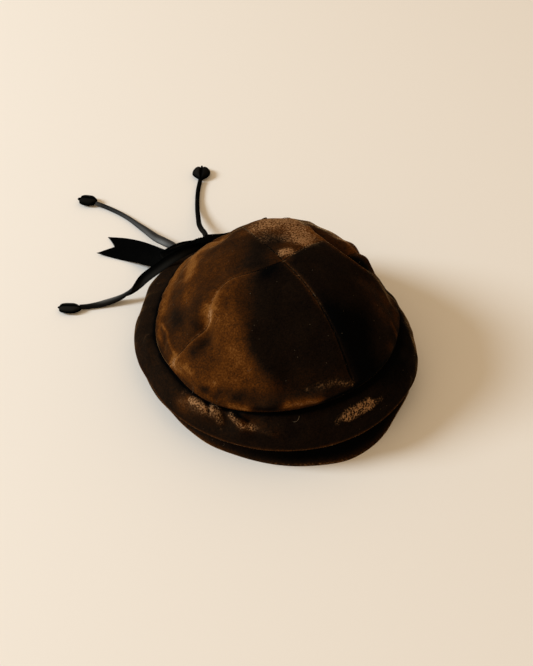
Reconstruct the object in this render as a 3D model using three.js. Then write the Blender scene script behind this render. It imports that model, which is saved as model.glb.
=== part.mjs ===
import * as THREE from 'three';

// A soft velvet tilt hat lying on a table with its ribbons spread behind it.
// Millimetres, +Z up. Angles round the hat are degrees from +X, and the wearer faces -Y.

// Cloth
const clothWall = 2;
const sewnGap = 0.4;          // between cloth pieces that are sewn together
const ribbonWall = 1.2;

// Crown
const crownHeight = 99;       // from the table to the point where the seams meet
const girthHeight = 25.7;     // level that the dome's curve is drawn from
const girthRadius = 97.2;     // mean radius of the dome at that level
const domePower = 1.79;       // 2 would be an ellipse
const apexShift = { x: 5.5, y: -3 };
const creaseHeight = 40;      // lower edge of the crown
const creaseTilt = 4;         // how much higher it is in front, and lower behind
const seamDip = 1.1;
const seamDipWidth = 4;
const reliefFade = 0.08;      // level above the crease where folds reach full depth

// Brim
const seamAllowance = 2.2;    // brim cloth that lies under the crown's edge
const upperEdge = { alongX: 104.2, alongY: 112, height: 17.6 };
const upperSlopes = { crease: 8, edge: 76 };
const underEdge = { alongX: 97.6, alongY: 116, height: 0 };
const underSlopes = { crease: 72, edge: 45 };
const hemWidth = 3.2;         // flat ring that the hat stands on
const puckerLean = { out: 0.6, up: 0.8 };

// Ribbons
const knot = { angle: 84, radius: 102, height: 9.4, waist: 4.2, rim: 5, sides: 14 };
const loop = { width: 10, depth: 7, rootShare: 0.62, turns: 22 };
const tailStrip = { thickness: 1.2, rows: 18, shares: [-1, -0.5, 0, 0.5, 1], notch: 11 };
const tieStrip = { thickness: 1.2, rows: 26, shares: [-1, 1], notch: 0 };
const budFold = { groove: 0.16, grooveWidth: 0.28 };
const budSeat = 0.96;         // share of the bud's half length at the height where the tie meets it

// How finely the surfaces are divided
const goreColumns = [0, 0.05, 0.12, 0.21, 0.31, 0.41, 0.5, 0.59, 0.69, 0.79, 0.88, 0.95, 1];
const goreRows = 15;
const brimColumns = 84;
const brimRows = 7;
const samePoint = 1e-3;       // points nearer than this are one point, as at the top of a gore

// Departures of the crown's plan from a circle
const girthWaves = [
  { turns: 1, cos: 0.9, sin: -1.1 },
  { turns: 2, cos: -0.5, sin: 3.7 },
  { turns: 3, cos: -2.9, sin: -0.4 },
];

// Angle of each seam at a few levels, 0 at the crease and 1 at the top
const seamLevels = [0, 0.25, 0.45, 0.65, 0.85, 1];
const seams = [
  { name: 'front', angles: [-92, -92, -91, -90, -90, -92] },
  { name: 'left', angles: [-4, -4, -9, 8, 10, 10] },
  { name: 'back', angles: [75, 76, 77, 80, 82, 82] },
  { name: 'right', angles: [173, 178, 176, 157, 166, 168] },
];
const gores = [
  { name: 'crown_gore_front_left', from: 0, to: 1 },
  { name: 'crown_gore_back_left', from: 1, to: 2 },
  { name: 'crown_gore_back_right', from: 2, to: 3 },
  { name: 'crown_gore_front_right', from: 3, to: 0 },
];

// Folds and dents of the crown: each follows a line of angle and level
const crownFolds = [
  { name: 'pinch on the right seam', line: [[186, 0.33], [178, 0.42]], width: 7, lift: -4 },
  { name: 'puff above the pinch', line: [[168, 0.5]], width: 12, lift: 2 },
  { name: 'front ridge', line: [[172, 0.62], [214, 0.41], [227, 0.24]], width: 9, lift: 2.2 },
  { name: 'flat beside the ridge', line: [[243, 0.55], [250, 0.3]], width: 24, lift: -3 },
  { name: 'left ridge', line: [[37, 0.4], [12, 0.58], [-12, 0.51], [-37, 0.43]], width: 5.5, lift: 3 },
  { name: 'hollow beyond it', line: [[30, 0.36], [14, 0.46], [-26, 0.37]], width: 8, lift: -3.5 },
  { name: 'bulge at the left', line: [[14, 0.24]], width: 18, lift: 2 },
  { name: 'dimple by the top', line: [[128, 0.7]], width: 7, lift: -1.8 },
  { name: 'dimple behind it', line: [[140, 0.58]], width: 8, lift: -1.5 },
  { name: 'slack on the back right', line: [[150, 0.3], [140, 0.15]], width: 12, lift: -2 },
];

// Puckers of the upper brim where it is gathered to the crown
const brimPuckers = [
  { angle: -149, width: 5, lift: -1.6 },
  { angle: -143, width: 3.5, lift: 1.8 },
  { angle: -137, width: 4, lift: -1.8 },
  { angle: -163, width: 7, lift: 1.4 },
  { angle: -94, width: 9, lift: 1.2 },
  { angle: 20, width: 10, lift: -1.2 },
];

// Where the under brim's edge is pushed in
const underDents = [
  { angle: -73, width: 13, lift: -4.5 },
];

// Middle line of the wide tail, from the knot to the cut end, with its width and twist
const tailSections = [
  { x: 5, y: 111.5, z: 32.4, width: 6, twist: -20 },
  { x: -1.5, y: 118, z: 23.4, width: 12, twist: -12 },
  { x: -6.5, y: 125.5, z: 16.8, width: 19, twist: -6 },
  { x: -9.6, y: 133.5, z: 11, width: 24, twist: 0 },
  { x: -11.3, y: 142.5, z: 6.4, width: 26, twist: 3 },
  { x: -13, y: 153, z: 3, width: 26, twist: 3 },
  { x: -17.5, y: 164, z: 1.5, width: 26, twist: 0 },
  { x: -24, y: 174.5, z: 1, width: 25.5, twist: 0 },
  { x: -31.5, y: 184, z: 1.1, width: 23, twist: 2 },
  { x: -36, y: 188.5, z: 1.6, width: 21.5, twist: 3 },
];

// Loops of the bow, from the knot's side to the tip
const loops = [
  { name: 'bow_loop_right', root: [5.0, 105.2, 39.2], tip: [-18, 120.5, 27] },
  { name: 'bow_loop_left', root: [15.9, 100.7, 40.2], tip: [67, 95, 36.6] },
];

// The narrow ties, from the bow to the bud: middle line, width and twist
const ties = [
  {
    name: 'tie_right',
    bud: { name: 'bud_right', length: 16, width: 10.6, height: 7, turn: -14 },
    sections: [
      { x: 5.4, y: 98.9, z: 40.6, width: 8, twist: -100 },
      { x: -1, y: 99.5, z: 41.4, width: 8, twist: -85 },
      { x: -8.5, y: 102.4, z: 40.4, width: 8, twist: -70 },
      { x: -19.2, y: 106.6, z: 36.2, width: 8, twist: -55 },
      { x: -29.2, y: 111.4, z: 28.4, width: 8, twist: -45 },
      { x: -38.4, y: 116, z: 19, width: 8, twist: -40 },
      { x: -44.6, y: 118.4, z: 12.4, width: 8, twist: -35 },
      { x: -51.4, y: 120.4, z: 7, width: 7.5, twist: -25 },
      { x: -60.2, y: 123, z: 3.4, width: 6.5, twist: -15 },
      { x: -71.1, y: 127.2, z: 1.5, width: 5.5, twist: -8 },
      { x: -80.6, y: 130.9, z: 1.2, width: 4.5, twist: 0 },
      { x: -88.2, y: 134.2, z: 2.6, width: 4, twist: 0 },
    ],
  },
  {
    name: 'tie_middle',
    bud: { name: 'bud_middle', length: 14.4, width: 11.4, height: 8, turn: 14 },
    sections: [
      { x: 11.1, y: 107, z: 38.4, width: 6.4, twist: 0 },
      { x: 11.2, y: 114, z: 33.6, width: 6.8, twist: 0 },
      { x: 9, y: 123, z: 24.4, width: 7.5, twist: 0 },
      { x: 5, y: 134, z: 17.4, width: 8, twist: 0 },
      { x: 2.6, y: 146, z: 12.4, width: 8, twist: 0 },
      { x: 2.8, y: 163, z: 7.4, width: 8, twist: 0 },
      { x: 3.8, y: 177.6, z: 4.4, width: 7.6, twist: 0 },
      { x: 3.4, y: 190, z: 2.6, width: 6, twist: 0 },
      { x: 2.2, y: 202, z: 1.6, width: 4.8, twist: 0 },
      { x: -0.6, y: 214, z: 1.2, width: 4.2, twist: 0 },
      { x: -4.6, y: 226, z: 1.5, width: 4, twist: 0 },
      { x: -8.6, y: 233.6, z: 2.8, width: 4, twist: 0 },
    ],
  },
  {
    name: 'tie_left',
    bud: { name: 'bud_left', length: 12.4, width: 13, height: 8, turn: 6 },
    sections: [
      { x: 14.3, y: 105.9, z: 43, width: 5.6, twist: 0 },
      { x: 20, y: 113.2, z: 35, width: 5.8, twist: 0 },
      { x: 27, y: 123.5, z: 26, width: 6, twist: 0 },
      { x: 33.2, y: 136, z: 17.6, width: 6, twist: 0 },
      { x: 39.2, y: 147.6, z: 11.4, width: 6, twist: 0 },
      { x: 45, y: 156.8, z: 7.6, width: 5.5, twist: 0 },
      { x: 52.6, y: 168.5, z: 4.2, width: 5, twist: 0 },
      { x: 60.4, y: 179.4, z: 2.2, width: 4.6, twist: 0 },
      { x: 66.9, y: 187.7, z: 1.3, width: 4.6, twist: 0 },
      { x: 72.3, y: 193.9, z: 1.2, width: 4.6, twist: 0 },
      { x: 77.7, y: 199.3, z: 1.7, width: 4.4, twist: 0 },
      { x: 81, y: 202.4, z: 2.6, width: 4, twist: 0 },
    ],
  },
];

const brownVelvet = { color: 0x3a2110, roughness: 0.95, metalness: 0 };
const blackVelvet = { color: 0x0c0c0d, roughness: 0.95, metalness: 0 };
const blackSatin = { color: 0x121315, roughness: 0.4, metalness: 0 };

const radians = (degrees) => degrees * Math.PI / 180;

// Smooth value through a short table of stations
function between(stations, values, at) {
  let i = 0;
  while (i < stations.length - 2 && at > stations[i + 1]) i += 1;
  const before = values[Math.max(i - 1, 0)];
  const after = values[Math.min(i + 2, values.length - 1)];
  const span = (at - stations[i]) / (stations[i + 1] - stations[i]);
  const start = (values[i + 1] - before) / 2;
  const end = (after - values[i]) / 2;
  const square = span * span;
  const cube = square * span;
  return values[i] * (2 * cube - 3 * square + 1) + start * (cube - 2 * square + span)
    + values[i + 1] * (3 * square - 2 * cube) + end * (cube - square);
}

// Angle of a seam at a level, counted so that the seams follow each other round the crown
function seamAngle(index, level) {
  const laps = Math.floor(index / seams.length);
  return between(seamLevels, seams[index % seams.length].angles, level) + 360 * laps;
}

function girth(angle) {
  let radius = girthRadius;
  for (const wave of girthWaves) {
    const turn = radians(angle * wave.turns);
    radius += wave.cos * Math.cos(turn) + wave.sin * Math.sin(turn);
  }
  return radius;
}

const creaseLevel = (angle) => creaseHeight - creaseTilt * Math.sin(radians(angle));

function domeShare(height) {
  const rise = (height - girthHeight) / (crownHeight - girthHeight);
  return Math.max(0, 1 - rise ** domePower) ** (1 / domePower);
}

const creaseRadius = (angle) => girth(angle) * domeShare(creaseLevel(angle));

// The dome without its folds
function domePoint(angle, level) {
  const crease = creaseLevel(angle);
  const rise = Math.sin(level * Math.PI / 2);
  const height = crease + (crownHeight - crease) * rise;
  const radius = level >= 1 ? 0 : girth(angle) * domeShare(height);
  return new THREE.Vector3(
    apexShift.x * rise + radius * Math.cos(radians(angle)),
    apexShift.y * rise + radius * Math.sin(radians(angle)),
    height,
  );
}

function domeNormal(angle, level) {
  const step = 0.01;
  if (level > 1 - step) return new THREE.Vector3(0, 0, 1);
  const here = domePoint(angle, level);
  const round = domePoint(angle + 1, level).sub(here);
  const up = domePoint(angle, level + step).sub(here);
  return round.cross(up).normalize();
}

// Every fold's line as points on the dome
const foldLines = crownFolds.map(({ line }) => line.map(([angle, level]) => domePoint(angle, level)));

function distanceToLine(point, line) {
  if (line.length === 1) return point.distanceTo(line[0]);
  const nearest = new THREE.Vector3();
  let best = Infinity;
  for (let i = 0; i + 1 < line.length; i += 1) {
    new THREE.Line3(line[i], line[i + 1]).closestPointToPoint(point, true, nearest);
    best = Math.min(best, nearest.distanceTo(point));
  }
  return best;
}

// How far the cloth stands off the dome, with the folds and the dip along each seam
function crownRelief(angle, level) {
  const point = domePoint(angle, level);
  let lift = 0;
  crownFolds.forEach((fold, i) => {
    lift += fold.lift * Math.exp(-((distanceToLine(point, foldLines[i]) / fold.width) ** 2));
  });
  const radius = Math.hypot(point.x - apexShift.x, point.y - apexShift.y);
  let nearest = Infinity;
  for (let i = 0; i < seams.length; i += 1) {
    const turn = radians(angle - seamAngle(i, level));
    nearest = Math.min(nearest, Math.abs(Math.atan2(Math.sin(turn), Math.cos(turn))) * radius);
  }
  lift -= seamDip * Math.exp(-((nearest / seamDipWidth) ** 2));
  return lift * Math.min(1, level / reliefFade);
}

function crownPoint(angle, level, depth) {
  if (level === 0 && depth > 0) {
    const radius = creaseRadius(angle) - depth;
    const turn = radians(angle);
    return new THREE.Vector3(radius * Math.cos(turn), radius * Math.sin(turn), creaseLevel(angle));
  }
  const off = crownRelief(angle, level) - depth;
  return domePoint(angle, level).addScaledVector(domeNormal(angle, level), off);
}

// Closed wall between two matching grids of points. A round wall joins its last column to its first.
function wallGeometry(outer, inner, round) {
  const columns = outer.length;
  const rows = outer[0].length;
  const positions = [];
  const triangle = (a, b, c) => {
    const shortest = Math.min(a.distanceTo(b), b.distanceTo(c), c.distanceTo(a));
    if (shortest > samePoint) positions.push(...a.toArray(), ...b.toArray(), ...c.toArray());
  };
  const quad = (a, b, c, d) => {
    triangle(a, b, c);
    triangle(a, c, d);
  };
  const last = round ? columns : columns - 1;
  for (let i = 0; i < last; i += 1) {
    const next = (i + 1) % columns;
    for (let j = 0; j + 1 < rows; j += 1) {
      quad(outer[i][j], outer[next][j], outer[next][j + 1], outer[i][j + 1]);
      quad(inner[i][j + 1], inner[next][j + 1], inner[next][j], inner[i][j]);
    }
    quad(inner[i][0], inner[next][0], outer[next][0], outer[i][0]);
    quad(outer[i][rows - 1], outer[next][rows - 1], inner[next][rows - 1], inner[i][rows - 1]);
  }
  if (!round) {
    const end = columns - 1;
    for (let j = 0; j + 1 < rows; j += 1) {
      quad(inner[0][j], outer[0][j], outer[0][j + 1], inner[0][j + 1]);
      quad(outer[end][j], inner[end][j], inner[end][j + 1], outer[end][j + 1]);
    }
  }
  const geometry = new THREE.BufferGeometry();
  geometry.setAttribute('position', new THREE.Float32BufferAttribute(positions, 3));
  geometry.computeVertexNormals();
  return geometry;
}

function piece(name, geometry, finish) {
  const mesh = new THREE.Mesh(geometry, new THREE.MeshStandardMaterial(finish));
  mesh.name = name;
  return mesh;
}

// One gore, moved a little out from the top so that it clears its neighbours at the seams
function crownGore({ name, from, to }) {
  const last = to > from ? to : to + seams.length;
  const grid = (depth) => goreColumns.map((share) => {
    const column = [];
    for (let j = 0; j <= goreRows; j += 1) {
      const level = j / goreRows;
      const start = seamAngle(from, level);
      const angle = start + (seamAngle(last, level) - start) * share;
      column.push(crownPoint(angle, level, depth));
    }
    return column;
  });
  const gore = piece(name, wallGeometry(grid(0), grid(clothWall), false), brownVelvet);
  const middle = radians((seamAngle(from, 0.5) + seamAngle(last, 0.5)) / 2);
  const away = sewnGap / Math.SQRT2;
  gore.position.set(away * Math.cos(middle), away * Math.sin(middle), 0);
  return gore;
}

// Shares of a brim's spread and drop, along a curve whose slope changes evenly
function roll(slopes, share) {
  const first = radians(slopes.crease);
  const last = radians(slopes.edge);
  const now = first + (last - first) * share;
  return {
    spread: (Math.sin(now) - Math.sin(first)) / (Math.sin(last) - Math.sin(first)),
    drop: (Math.cos(first) - Math.cos(now)) / (Math.cos(first) - Math.cos(last)),
  };
}

function edgeRadius(angle, edge) {
  const turn = radians(angle);
  const across = Math.hypot(Math.cos(turn) / edge.alongX, Math.sin(turn) / edge.alongY);
  return 1 / across;
}

// Lift at an angle from a list of bumps and dents round the brim
function liftRound(bumps, angle) {
  let lift = 0;
  for (const bump of bumps) {
    const turn = radians(angle - bump.angle);
    const away = Math.atan2(Math.sin(turn), Math.cos(turn)) / radians(bump.width);
    lift += bump.lift * Math.exp(-away * away);
  }
  return lift;
}

// Radius and height of the upper brim's top face
function upperProfile(angle, share) {
  const start = creaseRadius(angle) - seamAllowance;
  const top = creaseLevel(angle) - sewnGap;
  const { spread, drop } = roll(upperSlopes, share);
  const swell = liftRound(brimPuckers, angle) * Math.sin(Math.PI * share) ** 2;
  return {
    radius: start + (edgeRadius(angle, upperEdge) - start) * spread + swell * puckerLean.out,
    height: top - (top - upperEdge.height) * drop + swell * puckerLean.up,
  };
}

function underProfile(angle, share) {
  const start = creaseRadius(angle) - seamAllowance;
  const top = creaseLevel(angle) - 2 * sewnGap - clothWall;
  const edge = edgeRadius(angle, underEdge) + liftRound(underDents, angle);
  const { spread, drop } = roll(underSlopes, share);
  return {
    radius: start + (edge - start) * spread,
    height: top - (top - underEdge.height) * drop,
  };
}

// A brim as a closed ring: its top face, and the same face moved in by the cloth's thickness
function brim(name, profile, hem) {
  const outer = [];
  const inner = [];
  const step = 0.01;
  for (let i = 0; i < brimColumns; i += 1) {
    const angle = -360 * i / brimColumns;
    const cos = Math.cos(radians(angle));
    const sin = Math.sin(radians(angle));
    const at = (radius, height) => new THREE.Vector3(radius * cos, radius * sin, height);
    const top = [];
    const bottom = [];
    for (let j = 0; j <= brimRows; j += 1) {
      const share = j / brimRows;
      const here = profile(angle, share);
      const ahead = profile(angle, share + step);
      const run = ahead.radius - here.radius;
      const fall = ahead.height - here.height;
      const size = Math.hypot(run, fall) / clothWall;
      top.push(at(here.radius, here.height));
      if (hem > 0 && j === brimRows) bottom.push(at(here.radius - hem, here.height));
      else bottom.push(at(here.radius + fall / size, here.height - run / size));
    }
    outer.push(top);
    inner.push(bottom);
  }
  return piece(name, wallGeometry(outer, inner, true), brownVelvet);
}

// Height of the upper brim's top face at a radius
function upperProfileHeight(angle, radius) {
  const halvings = 30;
  let low = 0;
  let high = 1;
  for (let i = 0; i < halvings; i += 1) {
    const middle = (low + high) / 2;
    if (upperProfile(angle, middle).radius < radius) low = middle;
    else high = middle;
  }
  return upperProfile(angle, low).height;
}

// The knot is a short waisted wrap standing on the brim
function bowKnot() {
  const half = knot.height / 2;
  const outline = [
    [0, -half], [knot.rim - 1, -half], [knot.rim, 1 - half], [knot.waist, 0],
    [knot.rim, half - 1], [knot.rim - 1, half], [0, half],
  ].map(([radius, height]) => new THREE.Vector2(radius, height));
  const mesh = piece('bow_knot', new THREE.LatheGeometry(outline, knot.sides), blackVelvet);
  const foot = upperProfileHeight(knot.angle, knot.radius - knot.rim);
  mesh.rotation.x = Math.PI / 2;
  mesh.position.set(
    knot.radius * Math.cos(radians(knot.angle)),
    knot.radius * Math.sin(radians(knot.angle)),
    foot + sewnGap + half,
  );
  return mesh;
}

// A ribbon loop: a closed band, slim at the knot and open towards its tip
function bowLoop({ name, root, tip }) {
  const from = new THREE.Vector3(...root);
  const along = new THREE.Vector3(...tip).sub(from);
  const length = along.length();
  along.normalize();
  const across = new THREE.Vector3(0, 0, 1).addScaledVector(along, -along.z).normalize();
  const through = new THREE.Vector3().crossVectors(across, along);
  const band = (inset) => {
    const columns = [];
    for (let i = 0; i < loop.turns; i += 1) {
      const turn = -2 * Math.PI * i / loop.turns;
      const open = loop.rootShare + (1 - loop.rootShare) * (1 - Math.cos(turn)) / 2;
      const reach = length / 2 - (length / 2 - inset) * Math.cos(turn);
      const side = (loop.depth / 2 * open - inset) * Math.sin(turn);
      columns.push([-loop.width / 2, 0, loop.width / 2].map((height) => from.clone()
        .addScaledVector(along, reach)
        .addScaledVector(through, side)
        .addScaledVector(across, height)));
    }
    return columns;
  };
  return piece(name, wallGeometry(band(0), band(ribbonWall), true), blackVelvet);
}

// A flat ribbon along a smooth line through its sections, with a V cut out of its end
function ribbonStrip(name, sections, { thickness, rows, shares, notch }, finish) {
  const path = new THREE.CatmullRomCurve3(sections.map(({ x, y, z }) => new THREE.Vector3(x, y, z)));
  const stations = sections.map((section, i) => i / (sections.length - 1));
  const widths = sections.map((section) => section.width);
  const twists = sections.map((section) => section.twist);
  const cut = notch / path.getLength();
  const face = (side) => shares.map((share) => {
    const column = [];
    const end = 1 - cut * (1 - Math.abs(share));
    for (let j = 0; j <= rows; j += 1) {
      const at = end * j / rows;
      const ahead = path.getTangent(at);
      const level = new THREE.Vector3(ahead.y, -ahead.x, 0).normalize();
      const across = level.applyAxisAngle(ahead, radians(between(stations, twists, at)));
      const outward = new THREE.Vector3().crossVectors(across, ahead);
      column.push(path.getPoint(at)
        .addScaledVector(across, share * between(stations, widths, at) / 2)
        .addScaledVector(outward, side * thickness / 2));
    }
    return column;
  });
  return piece(name, wallGeometry(face(1), face(-1), false), finish);
}

// A bud: a flattened bean with a groove along its top, at the end of its tie
function endBud({ bud, sections }) {
  const geometry = new THREE.SphereGeometry(1, 14, 9);
  const spots = geometry.attributes.position;
  for (let i = 0; i < spots.count; i += 1) {
    const spot = new THREE.Vector3().fromBufferAttribute(spots, i);
    const crease = budFold.groove * Math.exp(-((spot.x / budFold.grooveWidth) ** 2));
    const fold = 1 - crease * Math.max(0, spot.z);
    spots.setXYZ(
      i,
      spot.x * bud.width / 2,
      spot.y * bud.length / 2,
      spot.z * fold * bud.height / 2,
    );
  }
  const mesh = piece(bud.name, geometry, blackVelvet);
  const [before, last] = sections.slice(-2).map(({ x, y, z }) => new THREE.Vector3(x, y, z));
  const ahead = last.clone().sub(before).setZ(0).normalize();
  const turn = radians(bud.turn);
  const reach = Math.hypot(bud.length * Math.cos(turn), bud.width * Math.sin(turn)) / 2;
  mesh.position.copy(last).addScaledVector(ahead, reach * budSeat + sewnGap);
  mesh.position.z = bud.height / 2;
  mesh.rotation.z = Math.atan2(ahead.y, ahead.x) - Math.PI / 2 + turn;
  return mesh;
}

const hat = new THREE.Group();
hat.add(...gores.map(crownGore));
hat.add(brim('upper_brim', upperProfile, 0));
hat.add(brim('under_brim', underProfile, hemWidth));
hat.add(bowKnot());
hat.add(...loops.map(bowLoop));
hat.add(ribbonStrip('ribbon_tail', tailSections, tailStrip, blackVelvet));

// The origin is under the middle of the hat and its wide tail, on the table
const box = new THREE.Box3().setFromObject(hat, true);
const middle = box.getCenter(new THREE.Vector3());
hat.add(...ties.map(({ name, sections }) => ribbonStrip(name, sections, tieStrip, blackSatin)));
hat.add(...ties.map(endBud));
hat.position.set(-middle.x, -middle.y, -box.min.z);

export default hat;
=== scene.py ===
import bpy
import math
import numpy as np
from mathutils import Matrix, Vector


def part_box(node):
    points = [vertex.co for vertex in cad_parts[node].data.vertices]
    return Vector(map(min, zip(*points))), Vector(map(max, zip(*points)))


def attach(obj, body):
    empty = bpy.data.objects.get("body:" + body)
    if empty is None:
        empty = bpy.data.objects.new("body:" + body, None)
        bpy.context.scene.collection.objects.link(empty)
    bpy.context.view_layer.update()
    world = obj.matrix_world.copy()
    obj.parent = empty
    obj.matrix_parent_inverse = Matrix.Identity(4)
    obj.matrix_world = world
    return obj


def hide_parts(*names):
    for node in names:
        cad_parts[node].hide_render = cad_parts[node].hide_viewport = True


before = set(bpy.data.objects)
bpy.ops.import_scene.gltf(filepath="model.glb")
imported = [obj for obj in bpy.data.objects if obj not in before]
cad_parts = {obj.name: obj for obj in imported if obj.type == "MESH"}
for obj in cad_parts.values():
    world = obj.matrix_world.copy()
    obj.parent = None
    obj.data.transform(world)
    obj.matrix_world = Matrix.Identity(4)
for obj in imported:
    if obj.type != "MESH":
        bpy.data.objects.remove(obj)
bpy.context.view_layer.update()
brimLow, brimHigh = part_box("upper_brim")
# every place below is in metres from the hat's axis on the table, and turns are degrees from +X
hatAxis = np.array([(brimLow.x + brimHigh.x) / 2, (brimLow.y + brimHigh.y) / 2, 0.0])
scene = bpy.context.scene

# Camera

photoView = {
    "lookAt": (-0.01283, -0.00679, 0.038),
    "distance": 0.95,
    "azimuth": -39.0,
    "elevation": 46.3,
    "lens": 68.76,
    "sensor": 36.0,
    "nearest": 0.01,
}


def awayFrom(azimuth, elevation):
    turn = math.radians(azimuth)
    rise = math.radians(elevation)
    return np.array([math.sin(turn) * math.cos(rise), -math.cos(turn) * math.cos(rise), math.sin(rise)])


def aimAt(thing, place, target):
    thing.location = place
    way = Vector(np.asarray(target) - np.asarray(place))
    thing.rotation_euler = way.to_track_quat("-Z", "Y").to_euler()


def makeCamera():
    data = bpy.data.cameras.new("photoCamera")
    data.lens = photoView["lens"]
    data.sensor_width = photoView["sensor"]
    data.clip_start = photoView["nearest"]
    camera = bpy.data.objects.new("photoCamera", data)
    scene.collection.objects.link(camera)
    target = hatAxis + np.array(photoView["lookAt"])
    back = awayFrom(photoView["azimuth"], photoView["elevation"])
    aimAt(camera, target + back * photoView["distance"], target)
    scene.camera = camera


makeCamera()
print("camera set")

# Shared helpers for curves and meshes


def unit(vectors):
    least = 1e-12
    size = np.linalg.norm(vectors, axis=-1, keepdims=True)
    return vectors / np.maximum(size, least)


def soften(low, high, values):
    share = np.clip((values - low) / (high - low), 0, 1)
    return share * share * (3 - 2 * share)


def bell(away, width):
    return np.exp(-((away / width) ** 2))


# cubic through a short table, the same curve that the solids follow
def smoothBetween(stations, values, at):
    stations = np.asarray(stations, float)
    values = np.asarray(values, float)
    i = np.clip(np.searchsorted(stations, at) - 1, 0, len(stations) - 2)
    before = values[np.maximum(i - 1, 0)]
    after = values[np.minimum(i + 2, len(values) - 1)]
    span = (at - stations[i]) / (stations[i + 1] - stations[i])
    start = (values[i + 1] - before) / 2
    end = (after - values[i]) / 2
    square = span * span
    cube = square * span
    return (
        values[i] * (2 * cube - 3 * square + 1)
        + start * (cube - 2 * square + span)
        + values[i + 1] * (3 * square - 2 * cube)
        + end * (cube - square)
    )


def addObject(name, mesh, materials):
    piece = bpy.data.objects.new(name, mesh)
    for material in materials:
        mesh.materials.append(material)
    scene.collection.objects.link(piece)
    return piece


# a piece stands still with the hat, takes the place of its solid and names its cloth
def addPiece(node, ending, mesh, materials):
    piece = addObject(node + ending, mesh, materials)
    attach(piece, "root")
    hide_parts(node)
    return piece


# the length walked along a line, at each of its points
def walkedAlong(line):
    return np.concatenate([[0], np.cumsum(np.linalg.norm(np.diff(line, axis=0), axis=1))])


# faces of a grid whose columns go all the way round
def gridFaces(rows, columns, first=0):
    i, k = np.meshgrid(np.arange(rows - 1), np.arange(columns), indexing="ij")
    nextK = (k + 1) % columns
    faces = [i * columns + k, i * columns + nextK, (i + 1) * columns + nextK, (i + 1) * columns + k]
    return np.stack(faces, axis=-1).reshape(-1, 4) + first


# mesh from points and four-sided faces; points that coincide are joined and flat faces dropped
def makeMesh(name, points, faces, faceMaterials, values, sharpAngle=math.pi):
    same = 1e-6
    keys = np.round(points / same).astype(np.int64)
    _, first, back = np.unique(keys, axis=0, return_index=True, return_inverse=True)
    back = back.ravel()
    kept = []
    keptMaterials = []
    for face, materialIndex in zip(back[faces].tolist(), faceMaterials):
        corners = [c for k, c in enumerate(face) if c != face[k - 1]]
        if len(set(corners)) == len(corners) and len(corners) > 2:
            kept.append(corners)
            keptMaterials.append(materialIndex)
    mesh = bpy.data.meshes.new(name)
    mesh.from_pydata((points[first] + hatAxis).tolist(), [], kept)
    mesh.polygons.foreach_set("material_index", keptMaterials)
    mesh.polygons.foreach_set("use_smooth", [True] * len(kept))
    for valueName, numbers in values.items():
        layer = mesh.attributes.new(valueName, "FLOAT", "POINT")
        layer.data.foreach_set("value", np.asarray(numbers, np.float32).ravel()[first])
    mesh.update()
    if sharpAngle < math.pi:
        mesh.set_sharp_from_angle(angle=sharpAngle)
    return mesh


# Materials


def addNode(tree, kind, inputs, **settings):
    node = tree.nodes.new(kind)
    for key, value in settings.items():
        setattr(node, key, value)
    for key, value in inputs.items():
        socket = node.inputs[key]
        if isinstance(value, bpy.types.NodeSocket):
            tree.links.new(value, socket)
        else:
            socket.default_value = value
    return node


def readValue(tree, name):
    return addNode(tree, "ShaderNodeAttribute", {}, attribute_name=name).outputs["Fac"]


def calculate(tree, operation, *values, clamp=False):
    node = addNode(tree, "ShaderNodeMath", dict(enumerate(values)), operation=operation, use_clamp=clamp)
    return node.outputs[0]


# the mix node's colour sockets go by number, because its other kinds have the same names
def mixColour(tree, share, first, second):
    inputs = {0: share, 6: first, 7: second}
    return addNode(tree, "ShaderNodeMix", inputs, data_type="RGBA").outputs[2]


def remap(tree, value, low, high, newLow=0.0, newHigh=1.0):
    inputs = {"Value": value, "From Min": low, "From Max": high, "To Min": newLow, "To Max": newHigh}
    return addNode(tree, "ShaderNodeMapRange", inputs, interpolation_type="SMOOTHSTEP").outputs[0]


def colourRamp(tree, value, stops):
    span = stops[-1][0]
    ramp = addNode(tree, "ShaderNodeValToRGB", {"Fac": calculate(tree, "DIVIDE", value, span)})
    points = ramp.color_ramp.elements
    while len(points) < len(stops):
        points.new(0.5)
    for point, (place, colour) in zip(points, stops):
        point.position = place / span
        point.color = colour
    return ramp.outputs["Color"]


def noise(tree, vector, scale, detail, roughness=0.5, distortion=0.0):
    inputs = {
        "Vector": vector,
        "Scale": scale,
        "Detail": detail,
        "Roughness": roughness,
        "Distortion": distortion,
    }
    return addNode(tree, "ShaderNodeTexNoise", inputs).outputs[0]


# a noise as its distance from the middle of its range
def fromMiddle(tree, value):
    return calculate(tree, "SUBTRACT", value, 0.5)


def blend(tree, first, second, shares):
    return calculate(tree, "MULTIPLY_ADD", first, shares[0], calculate(tree, "MULTIPLY", second, shares[1]))


def objectPlace(tree):
    return addNode(tree, "ShaderNodeTexCoord", {}).outputs["Object"]


# every output of a group is a plain value
def newGroup(name, inputs, outputs):
    group = bpy.data.node_groups.new(name, "ShaderNodeTree")
    for title, kind, value in inputs:
        socket = group.interface.new_socket(title, in_out="INPUT", socket_type=kind)
        if value is not None:
            socket.default_value = value
    for title in outputs:
        group.interface.new_socket(title, in_out="OUTPUT", socket_type="NodeSocketFloat")
    start = group.nodes.new("NodeGroupInput").outputs
    end = group.nodes.new("NodeGroupOutput").inputs
    return group, start, end


velvetPile = {
    "cloudScale": 48.0,
    "crushScale": 260.0,
    "grainScale": 850.0,
    "speckScale": 0.95,         # as a share of the grain's scale
    "cloudShares": (0.45, 0.55),        # of the crush and the clouds
    "reliefShares": (0.6, 0.4),         # of the crush and the grain
}


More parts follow.
